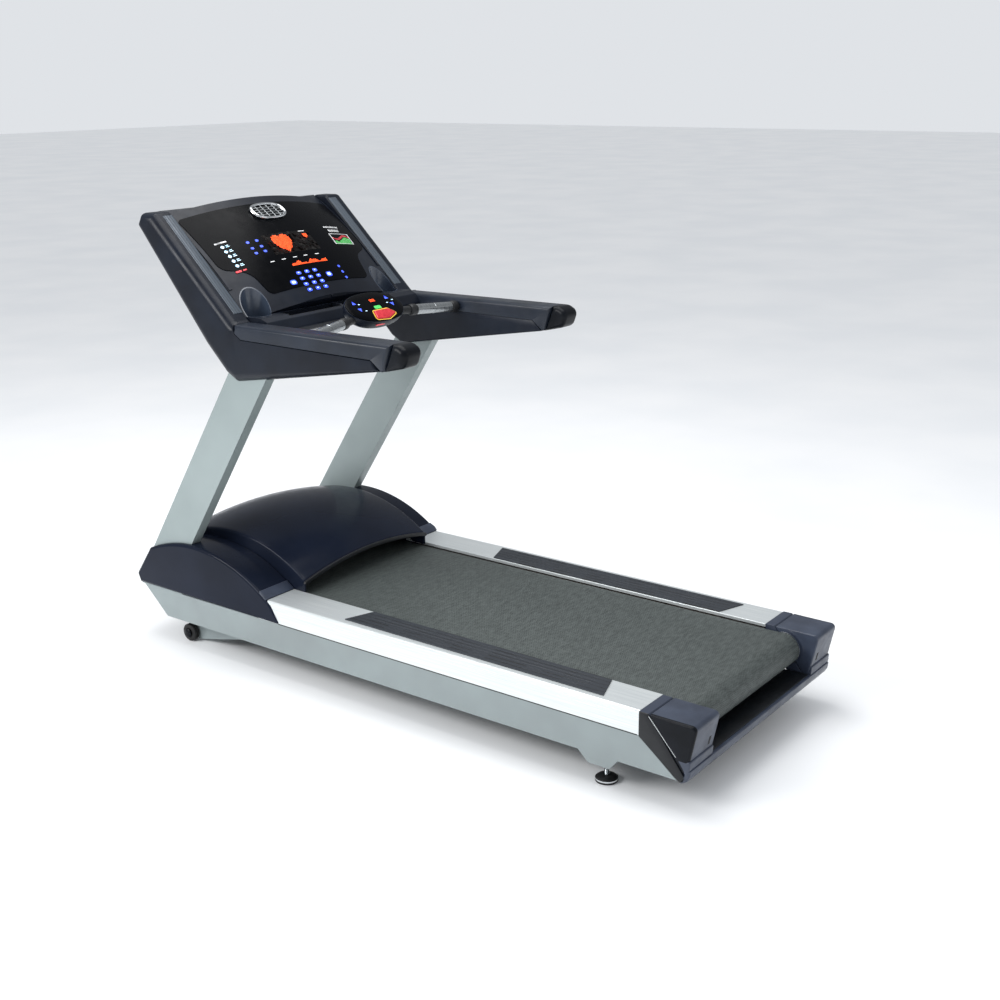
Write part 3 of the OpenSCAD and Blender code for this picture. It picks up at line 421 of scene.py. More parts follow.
# %% Covers, console and caps
cover_abs = mottled(
    "polished navy ABS", "cover_gloss", "#141926", 0.22, (320, "#121723", "#191f2d"),
    (26, 0.17, 0.26), Specular_IOR_Level=0.12)
bump(cover_abs, clouds(cover_abs, 14, detail=1.0), 0.02)
console_abs = mottled(
    "textured blue-grey ABS", "console_plastic", "#121721", 0.3, (130, "#10141d", "#161c27"),
    (40, 0.29, 0.4), (1.1, 0.035), Specular_IOR_Level=0.22)
grip_abs = mottled(
    "soft-touch grip plastic", "grip_plastic", "#1b212c", 0.34, (120, "#181e28", "#202733"),
    (35, 0.33, 0.45), (1.0, 0.04), Specular_IOR_Level=0.3, Coat_Weight=0.2, Coat_Roughness=0.25)
cap_nylon = mottled(
    "satin navy nylon", "cap_plastic", "#343b4a", 0.36, (70, "#2f3645", "#3b4353"),
    (30, 0.3, 0.42), (0.9, 0.04), Specular_IOR_Level=0.5)
end_black_and_painted_shade = mottled(
    "black end-cap plastic and painted shade", "end_plastic", "#0d1015", 0.34, (60, "#0b0e13", "#12151b"),
    None, (1.2, 0.03), Specular_IOR_Level=0.15)
bumper_pp = mottled(
    "black polypropylene", "bumper_plastic", "#111317", 0.38, (80, "#0e1014", "#171a1f"),
    (24, 0.32, 0.46), (1.3, 0.05))
liner_abs = mottled("gloss black liner plastic", "liner_plastic", "#11141b", 0.22, None, (20, 0.18, 0.28))
# The bottle troughs are the console's navy plastic; their colour is lightened as a painted highlight on
# their hollow walls
trough_abs_painted_highlight = mottled(
    "polished console ABS with painted highlight", "liner_plastic", "#343d4b", 0.22, (60, "#2f3745", "#3a4453"),
    (25, 0.16, 0.26), Specular_IOR_Level=1.0)
black_abs = mottled("matt black ABS", "black_plastic", "#121316", 0.5, (50, "#101114", "#181a1d"),
                    None, (1.4, 0.06))

# Navy nylon painted black on its outer side as painted shade, going black from 437.5 to 438.5 mm out from
# the middle
painted_shade_starts, painted_shade_ends = 437.5, 438.5
collar_pp_with_painted_shade = mottled("collar plastic with painted shade", "cap_plastic", "#343b4a", 0.36, None, (30, 0.3, 0.42),
                    Specular_IOR_Level=0.4)
off_middle = add(collar_pp_with_painted_shade, "SeparateXYZ", links={0: collar_pp_with_painted_shade.place}).outputs[0]
off_middle = calc(collar_pp_with_painted_shade, "ABSOLUTE", off_middle)
drift(collar_pp_with_painted_shade, off_middle, "#343b4a", "#0d1015", painted_shade_starts, painted_shade_ends)
print("plastics ready")

# %% [markdown]
# ## Rubber and the deck
# The running belt is woven polyester faced with PVC, embossed with a zig-zag so that shoes grip. The real
# pitch is about 2 mm, too fine to show from across a room, so it is drawn about three times as coarse.
# The pattern follows the belt round its rollers through the distance along it, which is kept on each
# point. The tread strips on the rails are hard rubber with short broken grooves.

# %% Belt
belt_pvc = finish("embossed PVC belt", "belt_rubber", "#434b49", 0.6)
zig_pitch, zig_width = 7.0, 18.0
run = add(belt_pvc, "Attribute", attribute_name="along").outputs["Fac"]
sides = add(belt_pvc, "SeparateXYZ", links={0: belt_pvc.place}).outputs[0]
zig = calc(belt_pvc, "PINGPONG", sides, zig_width / 2)
wander = between(belt_pvc, clouds(belt_pvc, 14), -2.5, 2.5, 0, 1)
shifted = calc(belt_pvc, "ADD", calc(belt_pvc, "ADD", run, zig), wander)
ridges = calc(belt_pvc, "PINGPONG", shifted, zig_pitch / 2)
ridges = between(belt_pvc, ridges, 0, 1, 0.4, zig_pitch / 2 - 0.4)
# The zig-zag grooves are coloured darker as painted shade in them, and the clouds add a random tone
shade = calc(belt_pvc, "MULTIPLY", ridges, 0.55)
shade = calc(belt_pvc, "ADD", shade, clouds(belt_pvc, 9, (3, 1, 1)))
drift(belt_pvc, shade, "#2c3231", "#555c5a", 0.4, 1.15)
gloss(belt_pvc, ridges, 0.5, 0.66, 0, 1)
bump(belt_pvc, ridges, 0.5)
print("belt pitch", zig_pitch, "mm")

# %% Tread strips and plain rubber
tread = finish("grooved tread rubber", "tread_rubber", "#2b3037", 0.5)
groove_pitch = 21.0
across, lengthways, _ = add(tread, "SeparateXYZ", links={0: tread.place}).outputs
row = calc(tread, "SNAP", across, groove_pitch)
off_row = calc(tread, "PINGPONG", calc(tread, "ADD", across, -groove_pitch / 2), groove_pitch)
off_row = calc(tread, "ABSOLUTE", calc(tread, "SUBTRACT", off_row, groove_pitch / 2))
in_groove = between(tread, off_row, 1, 0, 1.6, 2.6)
cell = add(tread, "CombineXYZ", links={0: row, 1: calc(tread, "MULTIPLY", lengthways, 1 / 130)}).outputs[0]
broken = add(tread, "TexNoise", {"Scale": 1.0, "Detail": 0.0}, {0: cell}).outputs[0]
grooves = calc(tread, "MULTIPLY", in_groove, between(tread, broken, 0, 1, 0.48, 0.5))
# The grooves are coloured near black: painted shade in them, on top of their sunken bump
drift(tread, grooves, "#2a2f36", "#0d0f12", 0, 1)
gloss(tread, clouds(tread, 40), 0.42, 0.56)
bump(tread, grooves, -0.8)
bump(tread, clouds(tread, 1.2), 0.05)

rubber = mottled("moulded black rubber", "cushion_rubber", "#0c0c0d", 0.62, (30, "#0a0a0b", "#151516"),
                 None, (0.9, 0.05))
board = finish("phenolic-faced board", "board_wood", "#1d1916", 0.4)
drift(board, clouds(board, 8, (1, 30, 1)), "#171412", "#25201b")
circuit = mottled("circuit board", "board_green", "#0e3a1c", 0.35, (5, "#0b3017", "#15502a"))
enamel = mottled("black motor enamel", "motor_black", "#0e0f11", 0.3, None, None, (2, 0.05))
print("rubber ready")

# %% [markdown]
# ## Printed film, keys and lights
# The console face is one sheet of clear film printed black from behind, with glowing marks under it. Each
# kind of mark is a thin raised print of its own colour that gives a little light, broken up by a fine
# dot screen so that it is not one flat colour.

# %% Film and inks
film = mottled("printed gloss film", "overlay_gloss", "#050609", 0.22, None, (40, 0.2, 0.28),
               Specular_IOR_Level=0.05)


def ink(name, first, second, glow):
    """A glowing print: its colour drifts on a 2 mm dot screen, and it gives off some of its own light."""
    m = finish(name, "overlay_gloss", first, 0.3)
    screen = clouds(m, 2.0, detail=0.0)
    blend = drift(m, screen, first, second, 0.4, 0.6)
    m.tree.links.new(blend.outputs[2], m.shader.inputs["Emission Color"])
    m.shader.inputs["Emission Strength"].default_value = glow
    return m


blue_ink = ink("blue lit key", "#1c2fd6", "#5a78ff", 0.9)
pale_ink = ink("pale blue lit mark", "#8fd2f4", "#e6f6ff", 0.8)
white_ink = ink("white print", "#dfe3e6", "#f7f7f7", 0.25)
red_ink = ink("red print", "#c8202c", "#e8404a", 0.4)
amber_ink = ink("red-orange display dots", "#ff3a14", "#ff6a2c", 1.2)
green_ink = ink("green key print", "#2fae46", "#63d66f", 0.4)
window = mottled("smoked display window", "overlay_gloss", "#0d0605", 0.25, None, (18, 0.22, 0.3),
                 Specular_IOR_Level=0.08)
yellow_ink = ink("yellow key outline", "#e4b52c", "#f2d15a", 0.3)
stop_red = mottled("red stop key", "stop_red", "#c31a2b", 0.32, (12, "#b81526", "#d42a38"),
                   None, (1.0, 0.03), Coat_Weight=0.2)
print("inks ready")


# %% [markdown]
# ## The measures that the new surfaces share
# The remade shells fill the same space as the parts that they stand for, so they start from the same few
# measures: how far back from the nose a line lies, the arch of the side covers, and the elbow where an
# arm meets the console. Everything is in millimetres here, and becomes metres only in the mesh.

# %% Shared measures
nose_y = 1112
half_w, frame_out, rail_in = 442.0, 437.6, 311.0
frame_top, rail_top = 192, 264
elbow_y, elbow_z = 537.72, 1160.0
nose_break, nose_lean, nose_under = 226, math.tan(math.radians(33.4)), 0.42
cover_arc, cover_crest, cover_mid_y = 550, 381, nose_y - 305


def back(n):
    """The Y of a line n millimetres back from the nose."""
    return nose_y - n


def cover_top(y):
    """Height of the side covers' arch: a circle through the crest, centred below it."""
    return cover_crest - cover_arc + np.sqrt(np.clip(cover_arc ** 2 - (y - cover_mid_y) ** 2, 0, None))


def nose_at(z):
    """The nose's Y at a height: it leans back above the break and slopes back below it."""
    z = np.asarray(z, float)
    lean_back = np.where(z > nose_break, nose_lean * (z - nose_break), nose_under * (nose_break - z))
    return nose_y - lean_back


def measured_from(y, z, rows):
    """Rows of (y, z, radius, share) measured from a place, moved to the machine's frame."""
    rows = np.array(rows, float)
    rows[:, :2] += (y, z)
    return rows


def from_rear(*rows):
    """Corners whose Y is measured forwards from the rear end."""
    return measured_from(-nose_y, 0, rows)


def at_elbow(*rows):
    """Corners measured from the elbow."""
    return measured_from(elbow_y, elbow_z, rows)


print("cover top at its crest", float(cover_top(cover_mid_y)))

# %% [markdown]
# ## The running belt
# The belt is one endless band 3 mm thick round two rollers. It is a rounded-corner section carried round
# a stadium-shaped path, and each point keeps its distance along the path for the embossed pattern. The
# path starts under the deck, so the place where the distance jumps back to nothing is out of sight.

# %% Belt
roller_z, belt_inner, belt_t, belt_half = 204, 47.2, 3.0, 298
rear_y, front_y = 105 - nose_y, back(434)
arc = np.linspace(0, np.pi, 40)
ways = np.concatenate([
    np.stack([np.full(40, front_y), -np.cos(arc), np.sin(arc)], 1),
    np.stack([np.full(40, rear_y), np.cos(arc), -np.sin(arc)], 1)])
section = rounded_outline(np.array([[-belt_half, 0, 0.4], [belt_half, 0, 0.4],
                                    [belt_half, belt_t, 1.2], [-belt_half, belt_t, 1.2]]), 0, 3)
reach = belt_inner + section[:, 1]
mid, cos_z, sin_y = ways[:, 0], ways[:, 1], ways[:, 2]
ring_y = mid[:, None] + reach[None] * sin_y[:, None]
ring_z = roller_z + reach[None] * cos_z[:, None]
points = np.stack([np.broadcast_to(section[None, :, 0], ring_y.shape), ring_y, ring_z], -1)
steps_along = np.hypot(*np.diff(np.stack([ring_y[:, -1], ring_z[:, -1]]), axis=1))
distance = np.concatenate([[0], np.cumsum(steps_along)])[:, None] + np.zeros(points.shape[:2])
piece("running_belt_skin", points, grid_faces(*points.shape[:2], wrap_rows=True), belt_pvc,
      stands_for="running_belt", along=distance)
print("belt length", round(float(distance.max() + front_y - rear_y)), "mm")

# %% [markdown]
# ## Motor hood
# The hood is thermoformed sheet, arched front to back and crowned side to side, with its sides turned
# down onto the side covers. As a surface: at each Y the crown is a circle about an axis far below, whose
# radius follows the arch; near the edge it turns into a small fillet and then a straight wall. The front
# is cut by the leaning nose, so each column finds its own end by a few rounds of stepping to the nose.

# %% Hood
hood_crest, hood_arc, hood_crown, hood_mid = 448, 593, 1406, back(350)
hood_edge, hood_fillet, hood_back = 310.0, 9.0, back(694)
hood_axis_z = hood_crest - hood_crown
wall_low, wall_tuck, sheet_t = 258, 12, 4


def hood_point(y, c):
    """c from -1 to 1 goes over the crown, and beyond that to -2 or 2 round the fillet and down the wall."""
    rho = hood_crest - hood_arc + np.sqrt(hood_arc ** 2 - (y - hood_mid) ** 2) - hood_axis_z
    painted_shade_side, over = np.sign(c), np.clip(np.abs(c) - 1, 0, 1)
    x0 = hood_edge - 0.78 * hood_fillet
    x = np.clip(np.abs(c), 0, 1) * x0
    z = hood_axis_z + np.sqrt(rho ** 2 - x ** 2)
    start = np.arcsin(x0 / rho)
    swing = start + (np.pi / 2 - start) * np.clip(over * 3, 0, 1)
    bend = over > 0
    z0 = hood_axis_z + np.sqrt(rho ** 2 - x0 ** 2)
    x = np.where(bend, x0 + hood_fillet * (np.sin(swing) - np.sin(start)), x)
    z = np.where(bend, z0 + hood_fillet * (np.cos(swing) - np.cos(start)), z)
    low = np.maximum(wall_low, cover_top(y) - wall_tuck)
    down = np.clip(over * 1.5 - 0.5, 0, 1)
    z = z * (1 - down) + low * down
    return painted_shade_side * x, z


c = np.concatenate([-np.linspace(2, 1, 19)[:-1], np.linspace(-1, 1, 81), np.linspace(1, 2, 19)[1:]])[None]
end_y = np.full_like(c, back(120))
for _ in range(12):
    end_y = np.minimum(nose_at(hood_point(end_y, c)[1]), back(16))
y = hood_back + (end_y - hood_back) * np.linspace(0, 1, 90)[:, None]
x, z = hood_point(y, c)
points = np.stack([x, y, z], -1)
hood = piece("motor_hood_shell", points, grid_faces(*points.shape[:2], wrap_columns=False), cover_abs,
             stands_for="motor_hood")
wall = hood.modifiers.new("sheet thickness", "SOLIDIFY")
wall.thickness, wall.offset, wall.use_even_offset = sheet_t * MM, -1, True
print("hood crown at", round(float(z.max())), "mm")

# %% Rear lip of the hood
edge_c = np.linspace(-1.25, 1.25, 121)
lip_x, lip_z = hood_point(np.full_like(edge_c, hood_back), edge_c)
lip_path = np.stack([lip_x, np.full_like(lip_x, hood_back - 1), lip_z - 5], 1)
lip_section = rounded_outline(np.array([[-5, -7, 2.4], [5, -7, 2.4], [5, 6, 2.4], [-5, 6, 2.4]]), 0, 4)
over = np.cross(unit(np.gradient(lip_path, axis=0)), (0.0, -1.0, 0.0))
over *= np.sign(over[len(over) // 2, 2])
ring = (lip_path[:, None] + lip_section[None, :, :1] * np.array([0, 1.0, 0])
        + lip_section[None, :, 1:] * over[:, None])
piece("hood_rear_lip", ring, grid_faces(*ring.shape[:2], capped=True), bumper_pp)

# %% [markdown]
# ## Side covers
# Each side cover is a box with an arched top that fades into the rail. Its outline is that arch, cut by
# the leaning nose in front and by a slant behind, and it is carried across the rail with its outer edge
# well rounded. A satin lip finishes the rear end, where feet may scuff it.

# %% Side covers and their lips
arch_y = np.linspace(back(663), float(nose_at(cover_top(back(100)))) - 3, 44)
low_corners = [[back(694), frame_top + 1, 2, 0.2], [float(nose_at(frame_top)), frame_top + 1, 6, 1],
               [nose_y - 0.5, nose_break, 14, 1]]
arch_rows = [[float(v), float(cover_top(v)), 0, 1] for v in arch_y[::-1]]
cover, cover_faces = slab(low_corners + arch_rows, rail_in + 0.7, half_w, (3, 11), steps=8)
lip_rows = [[466, rail_top + 0.3, 1], [500, float(cover_top(500)) - 6, 1]] + [
    [v, float(cover_top(v)) + 3.2, 1.5] for v in (500.0, 482.0, 468.0)]
lip, lip_faces = slab(lip_rows, rail_in + 1, half_w - 1.2, (2, 5), steps=5)
for name, turn in SIDES:
    piece(f"side_cover_{name}_shell", turn(cover), cover_faces, cover_abs,
          stands_for=f"side_cover_{name}")
for name, turn in SIDES:
    piece(f"cover_lip_{name}", turn(lip), lip_faces, cap_nylon)

# %% [markdown]
# ## Rear end caps and bumper
# The end caps are the corners that get kicked, so they are thick nylon with soft edges: a wedge-shaped
# block over the end of each rail, whose outer side is painted black as painted shade on the navy nylon. A
# collar follows its slanting front edge down to the tip, with the same painted shade on its outer side, and
# a skid band runs across the whole rear below the belt.

# %% End caps, and the rims of the rear roller beside the belt
cap_rows = from_rear([144, rail_top, 3, 0.3], [-2, rail_top, 14, 1], [22, 148, 14, 1], [33, 117, 5, 0.5])
block, block_faces = slab(cap_rows, rail_in, half_w - 0.8, (4, 9), steps=7)
# The side panel's black is painted shade on the outer side of the navy cap
panel, panel_faces = slab(cap_rows, half_w - 9, half_w - 0.05, (0, 7.6), steps=6)
slot_rows = from_rear([11, 198, 1], [16.2, 173, 1], [22, 173, 1], [17, 198, 1])
slot, slot_faces = slab(slot_rows, rail_in + 24, rail_in + 35, (1, 1), steps=3)
rim = [[belt_half + 0.6, belt_inner - 4], [belt_half + 0.6, belt_inner + 5], [belt_half + 5, belt_inner + 5],
       [belt_half + 6.4, belt_inner + 2], [belt_half + 6.4, belt_inner - 4]]
rim, rim_faces = lathe(rim, (0, rear_y, roller_z), steps=64, closed=True)
for name, turn in SIDES:
    piece(f"end_cap_{name}_block", turn(block), block_faces, cap_nylon, stands_for=f"end_cap_{name}")
    piece(f"end_cap_{name}_side", turn(panel), panel_faces, end_black_and_painted_shade)
    piece(f"end_cap_{name}_slot", turn(slot), slot_faces, rubber)
for name, turn in SIDES:
    piece(f"rear_roller_rim_{name}", turn(rim), rim_faces, chrome, body="rear_roller")

# %% Bumper, apron and skid band
bumper_rows = from_rear([40, 90, 2], [56, 72, 2], [60, 72, 1], [60, 108, 1], [90, 130, 1], [90, 134, 1],
                        [26, 134, 2], [27, 100, 2])
piece("rear_bumper_body", *slab(bumper_rows, -rail_in, rail_in, (2, 2), steps=3), bumper_pp,
      stands_for="rear_bumper")
apron_rows = from_rear([215, 132, 1], [88, 132, 1], [88, 128, 1], [215, 128, 1])
piece("rear_apron", *slab(apron_rows, -rail_in, rail_in, (1, 1), steps=3), bumper_pp)
collar_rows = from_rear([48, 90, 3, 1], [176, 191, 2, 0.5], [176, 264, 1.5, 0.5], [146.5, 264, 1.5, 0.3],
                        [35.5, 116, 3, 0.3], [31, 98, 3, 0.5])
piece("end_cap_collars", *both(*slab(collar_rows, rail_in + 1.5, half_w - 0.6, (2, 5), steps=5)), collar_pp_with_painted_shade)
pad_rows = from_rear([60, 160, 1], [15.5, 160, 5], [17, 140, 8], [21, 118, 6], [30, 111, 2], [34, 122, 1])
piece("skid_pads", *both(*slab(pad_rows, rail_in + 1, half_w - 0.02, (2, 5), steps=5)), cap_nylon)
seam_rows = from_rear([145.4, 258, 0.4], [143.2, 258, 0.4], [58, 163, 0.4], [60.4, 163, 0.4])
piece("end_cap_seams", *both(*slab(seam_rows, half_w - 6, half_w - 0.01, (0.2, 0.4), steps=2)), rail_metal)
skid_rows = from_rear([48, 90, 3], [34, 116, 2], [26, 132, 2], [15, 132, 3], [18, 112, 6], [26, 98, 6],
                      [40, 90, 4])
piece("rear_skid_band", *slab(skid_rows, -half_w + 0.5, half_w - 0.5, (6, 6), steps=5), cap_nylon)

# %% [markdown]
# ## Arms, bolsters and grips
# Each side of the console is one big moulding: a bolster up the side of the face that turns at the elbow
# into a long tapering arm. A lighter soft-touch cap lies along the arm's top and a black cap closes its
# end. Their edges are rounded like the palm of a hand, broad along the bolster and small at the seams,
# so every corner of the outline carries its own share of the rounding.

# %% Side shells, grip caps and end caps
arm_in = 360.0
shell_rows = at_elbow(
    [-601, -82, 3, 0.5], [-16, -182, 40, 1], [10, -186, 20, 1], [54, -162, 40, 1], [137, -79, 60, 1],
    [426, 278, 16, 0.9], [405, 316, 14, 0.9], [347, 317, 14, 0.9], [12, -2, 30, 0.9], [3, -4, 0, 0.1],
    [-4, -30, 0, 0.05], [-30, -47, 0, 0.05], [-562, -50, 0, 0.08])
shell, shell_faces = slab(shell_rows, arm_in, half_w, (8, 30), steps=12)
grip_rows = at_elbow([-601, -82, 2, 0.2], [-562, -50, 0, 0.06], [-30, -47, 12, 0.06],
                     [-4, -30, 12, 0.06], [3, -4, 3, 0.6], [-640, 3, 0, 1], [-612, -80, 2, 0.4])
grip, grip_faces = slab(grip_rows, arm_in, half_w, (17, 20), steps=9)
for name, turn in SIDES:
    piece(f"side_shell_{name}_skin", turn(shell), shell_faces, console_abs,
          stands_for=f"side_shell_{name}")
    piece(f"grip_cap_{name}_skin", turn(grip), grip_faces, grip_abs, stands_for=f"grip_cap_{name}")
tip_rows = at_elbow([-612.6, -80, 2, 0.4], [-640.6, 3, 0, 1], [-664, 3, 34, 1], [-698, -14, 24, 1],
                    [-680, -64, 26, 1])
piece("arm_tips", *both(*slab(tip_rows, arm_in, half_w, (17, 20), steps=9)), end_black_and_painted_shade,
      stands_for="arm_end_caps")

# %% Ribbed inlays on the bolsters
rib_pitch = 11.0
inlay = finish("ribbed grey trim", "trim_aluminium", "#59636f", 0.34, 0.2)
rib = add(inlay, "SeparateXYZ", links={0: inlay.place}).outputs[0]
rib = between(inlay, calc(inlay, "PINGPONG", rib, rib_pitch / 2), 0, 1, 0.3, 1.6)
# The grooves between the ribs are coloured dark as painted shade
drift(inlay, rib, "#22282f", "#4c555f", 0, 1)
gloss(inlay, clouds(inlay, 50), 0.3, 0.42)
bump(inlay, rib, 0.6)
low_end, high_end = np.array([12.0, -2]), np.array([347.0, 317])
run_up = unit(high_end - low_end)
outwards = np.array([-run_up[1], run_up[0]])
ends = [low_end + run_up * 34, high_end - run_up * 14]
sunk, proud = outwards * 3, outwards * 1.4
inlay_rows = at_elbow([*(ends[0] - sunk), 0.5, 1], [*(ends[1] - sunk), 0.5, 1],
                      [*(ends[1] + proud), 2, 1], [*(ends[0] + proud), 2, 1])
points, faces = slab(inlay_rows, arm_in + 2, arm_in + 40, (1, 2), steps=3)
for name, turn in SIDES:
    piece(f"bolster_inlay_{name}", turn(points), faces, inlay)

# %% [markdown]
# ## Handlebar and pulse grips
# The handlebar is 26 mm tube, bent once each side, with steel sleeves that read a pulse. The centre line
# is a straight run through the pod and a sloping run to each arm; the bend is made by blending the two
# with a smooth corner, and the sleeves are the same path with a larger radius.

# %% Bar, sleeves and collars
bend_x, bar_y, bar_z, bar_rise = 88.0, elbow_y - 192, elbow_z - 15, np.array([0, -0.2, -0.058])
bar_r, grip_r, bend_soft = 13.0, 17.0, 12


def bar_line(x):
    """The bar's centre at a distance x from the middle. Beyond the bend it rises with
    (u + sqrt(u^2 + s^2)) / 2, u being the distance past the bend and s its softness."""
    beyond = 0.5 * ((x - bend_x) + np.sqrt((x - bend_x) ** 2 + bend_soft ** 2))
    beyond = beyond - 0.5 * (np.sqrt(bend_soft ** 2 + bend_x ** 2) - bend_x)
    return (np.stack([x, np.zeros_like(x), np.zeros_like(x)], 1) + beyond[:, None] * bar_rise
            + (0, bar_y, bar_z))


half_bar = bar_line(np.linspace(0, 366, 70))
bar_path = np.concatenate([mirrored(half_bar[:0:-1]), half_bar])
bar_parts = [tube(bar_path, bar_r)]
for first, last, radius in ((156, 182, grip_r + 2), (330, 354, grip_r + 3)):
    x = np.linspace(first, last, 12)
    swell = radius - 2.5 * np.linspace(-1, 1, 12) ** 6
    bar_parts.append(both(*tube(bar_line(x), swell)))
piece("handlebar_tube", *join(*bar_parts), black_abs, stands_for="handlebar")
x = np.concatenate([[182.6, 183.2], np.linspace(186, 252, 8), [254.4, 255.2, 256.8, 257.6],
                    np.linspace(260, 326, 8), [328.8, 329.4]])
dip = np.zeros_like(x)
dip[[0, -1]] = 1.2
dip[[11, 12]] = 1.6
piece("pulse_grip_sleeves", *both(*tube(bar_line(x), grip_r - dip, sides=40)), grip_steel,
      stands_for="pulse_grips")

# %% [markdown]
# ## Control pod
# The pod is a shallow squarish bowl on the bar, with a gloss plate let into its top. Bowl and plate are
# superellipses: for the bowl, the ring shrinks and sinks together along a quarter turn, which gives the
# soft keel seen from below. The stop key stands proud of the plate on its own stem, so it can be pressed.

# %% Pod frame and bowl
pod_tilt = math.radians(35)
pod_centre = np.array([0, elbow_y - 191, elbow_z + 11])
pod_along = np.array([0, math.cos(pod_tilt), math.sin(pod_tilt)])
pod_out = np.array([0, -math.sin(pod_tilt), math.cos(pod_tilt)])


def on_pod(flat, height):
    """Points of the pod: x, distance up its slope, and height out of its plate."""
    return tilted(flat, height, pod_centre, pod_along, pod_out)


def pod_rings(*rings):
    """Rings of the pod, each told as (height, inset along x, inset up the slope)."""
    return np.stack([on_pod(oval(126 - a, 68 - b, 2.3), h) for h, a, b in rings])


quarter = [(1 - math.cos(a), math.sin(a)) for a in np.linspace(0, np.pi / 2, 14)]
bowl = pod_rings((-1.5, 124, 67), (-0.4, 2.8, 2.8), (0, 1.4, 1.4), (-0.8, 0.42, 0.42),
                 *[(-3 - 41 * down, 40 * drawn, 22 * drawn) for drawn, down in quarter], (-44, 124, 67))
piece("pod_bowl", bowl, grid_faces(*bowl.shape[:2], capped=True), console_abs, stands_for="pod_base")

# %% Pod plate and stop key
plate = pod_rings((0, 6, 6), (1.6, 3.2, 3.2), (2, 4, 4), (2, 30, 30), (2, 123, 66))
piece("pod_plate", plate, grid_faces(*plate.shape[:2], capped=True), film, stands_for="pod_overlay")
key_rows = np.array([[-40, -56, 5], [14, -62, 5], [62, -44, 5], [42, -20, 5], [-26, -20, 5]])
key, key_faces = slab(key_rows, -2.5, 6.5, (0, 4), axes="xyz")
stem, stem_faces = lathe([[-33, 0.01], [-33, 5], [-1, 5], [-1, 0.01]], (8, -44, 0), axis="z", steps=24)
piece("stop_key", *join((on_pod(key[..., :2], key[..., 2]), key_faces),
                        (on_pod(stem[..., :2], stem[..., 2]), stem_faces)),
      stop_red, body="stop_button", stands_for="stop_button")
ring_in, ring_out = (rounded_outline(key_rows, -grow) for grow in (1.6, 4.2))
ring = np.stack([on_pod(ring_in, 1.9), on_pod(ring_out, 1.9), on_pod(ring_out, 2.5), on_pod(ring_in, 2.5)])
piece("stop_key_outline", ring, grid_faces(*ring.shape[:2], wrap_rows=True), yellow_ink)

# %% [markdown]
# ## Console face and its printed marks
# The face is a sphere cap of large radius, so a mark at (x, v) on it is lifted along the sphere's own
# height. Every mark is a thin prism that stands 0.3 mm out of the film: a display of many dots, a keypad,
# a column of small lamps. The marks are plain shapes with no lettering.

# %% A place on the face, and prints on any surface
face_slope = math.radians(39.4)
face_centre = np.array([0, elbow_y + 201, elbow_z + 181])
face_along = np.array([0, math.cos(face_slope), math.sin(face_slope)])
face_out = np.array([0, -math.sin(face_slope), math.cos(face_slope)])
face_r, face_crest = 1462.0, 40.0


def on_face(flat, lift):
    """Points of the face: w = crest - r + sqrt((r + lift)^2 - x^2 - v^2) out of its flat middle."""
    w = face_crest - face_r + np.sqrt((face_r + lift) ** 2 - (np.asarray(flat, float) ** 2).sum(-1))
    return tilted(flat, w, face_centre, face_along, face_out)


def prints(name, m, *patches, where=on_face, lift=2.0, thick=0.35):
    """Thin prisms from arrays of (patch, corner, 2), on the surface given by where."""
    patches = np.concatenate(patches).astype(float)
    count, k = patches.shape[:2]
    points = np.stack([where(patches, lift - 0.3), where(patches, lift + thick)], 1)
    base = (np.arange(count) * 2 * k)[:, None]
    ring = np.arange(k)
    low, high = base + ring, base + k + ring
    sides = np.stack([low, np.roll(low, -1, 1), np.roll(high, -1, 1), high], -1).reshape(-1, 4)
    return piece(name, points, low.tolist() + high.tolist() + sides.tolist(), m, smooth=20)


def tiles(centres, width, height, cut=0.25):
    """Small eight-cornered tiles about each centre; cut is the share taken off each corner."""
    w, h, c = width / 2, height / 2, min(width, height) * cut
    shape = np.array([[w, -h + c], [w, h - c], [w - c, h], [-w + c, h], [-w, h - c], [-w, -h + c],
                      [-w + c, -h], [w - c, -h]])
    return np.asarray(centres, float)[:, None] + shape


def grid_of(xs, vs):
    """Every pair of a column and a row."""
    return np.stack([a.ravel() for a in np.meshgrid(xs, vs)], 1)


def heart(centre, size, pitch):
    """Dots on a square grid inside the curve (x^2 + y^2 - 1)^3 = x^2 y^3."""
    n = np.arange(-size, size + pitch / 2, pitch)
    spots = grid_of(n, n)
    u, v = spots[:, 0] / size * 1.2, spots[:, 1] / size * 1.2 + 0.1
    inside = (u ** 2 + v ** 2 - 1) ** 3 - u ** 2 * v ** 3 <= 0
    return spots[inside] + centre


print("face and print tools ready")

# %% Displays
prints("display_window", window,
       tiles(grid_of(np.arange(-110, 91, 10.0), np.arange(-60, 21, 10.0)), 10, 10, 0), thick=0.12)
prints("display_hearts", amber_ink, tiles(heart((-48, -22), 41, 4.6), 3.6, 3.6),
       tiles(heart((70, -1), 11, 3.2), 2.5, 2.5), lift=2.2)
dot_pitch, dots_low = 3.4, -118
spots = grid_of(np.arange(-80, 81, 4.0), np.arange(5) * dot_pitch + dots_low)
level = 2.4 + 1.6 * np.sin(spots[:, 0] / 11) + 0.9 * np.sin(spots[:, 0] / 4.3)
lit = (spots[:, 1] - dots_low) / dot_pitch <= level
prints("workout_profile_dots", amber_ink, tiles(spots[lit], 3.0, 2.6))
prints("display_captions", white_ink, tiles([[x, -86] for x in (-147, -98, -48, 1, 56)], 17, 2.6),
       tiles([[68, 21]], 28, 2.6))

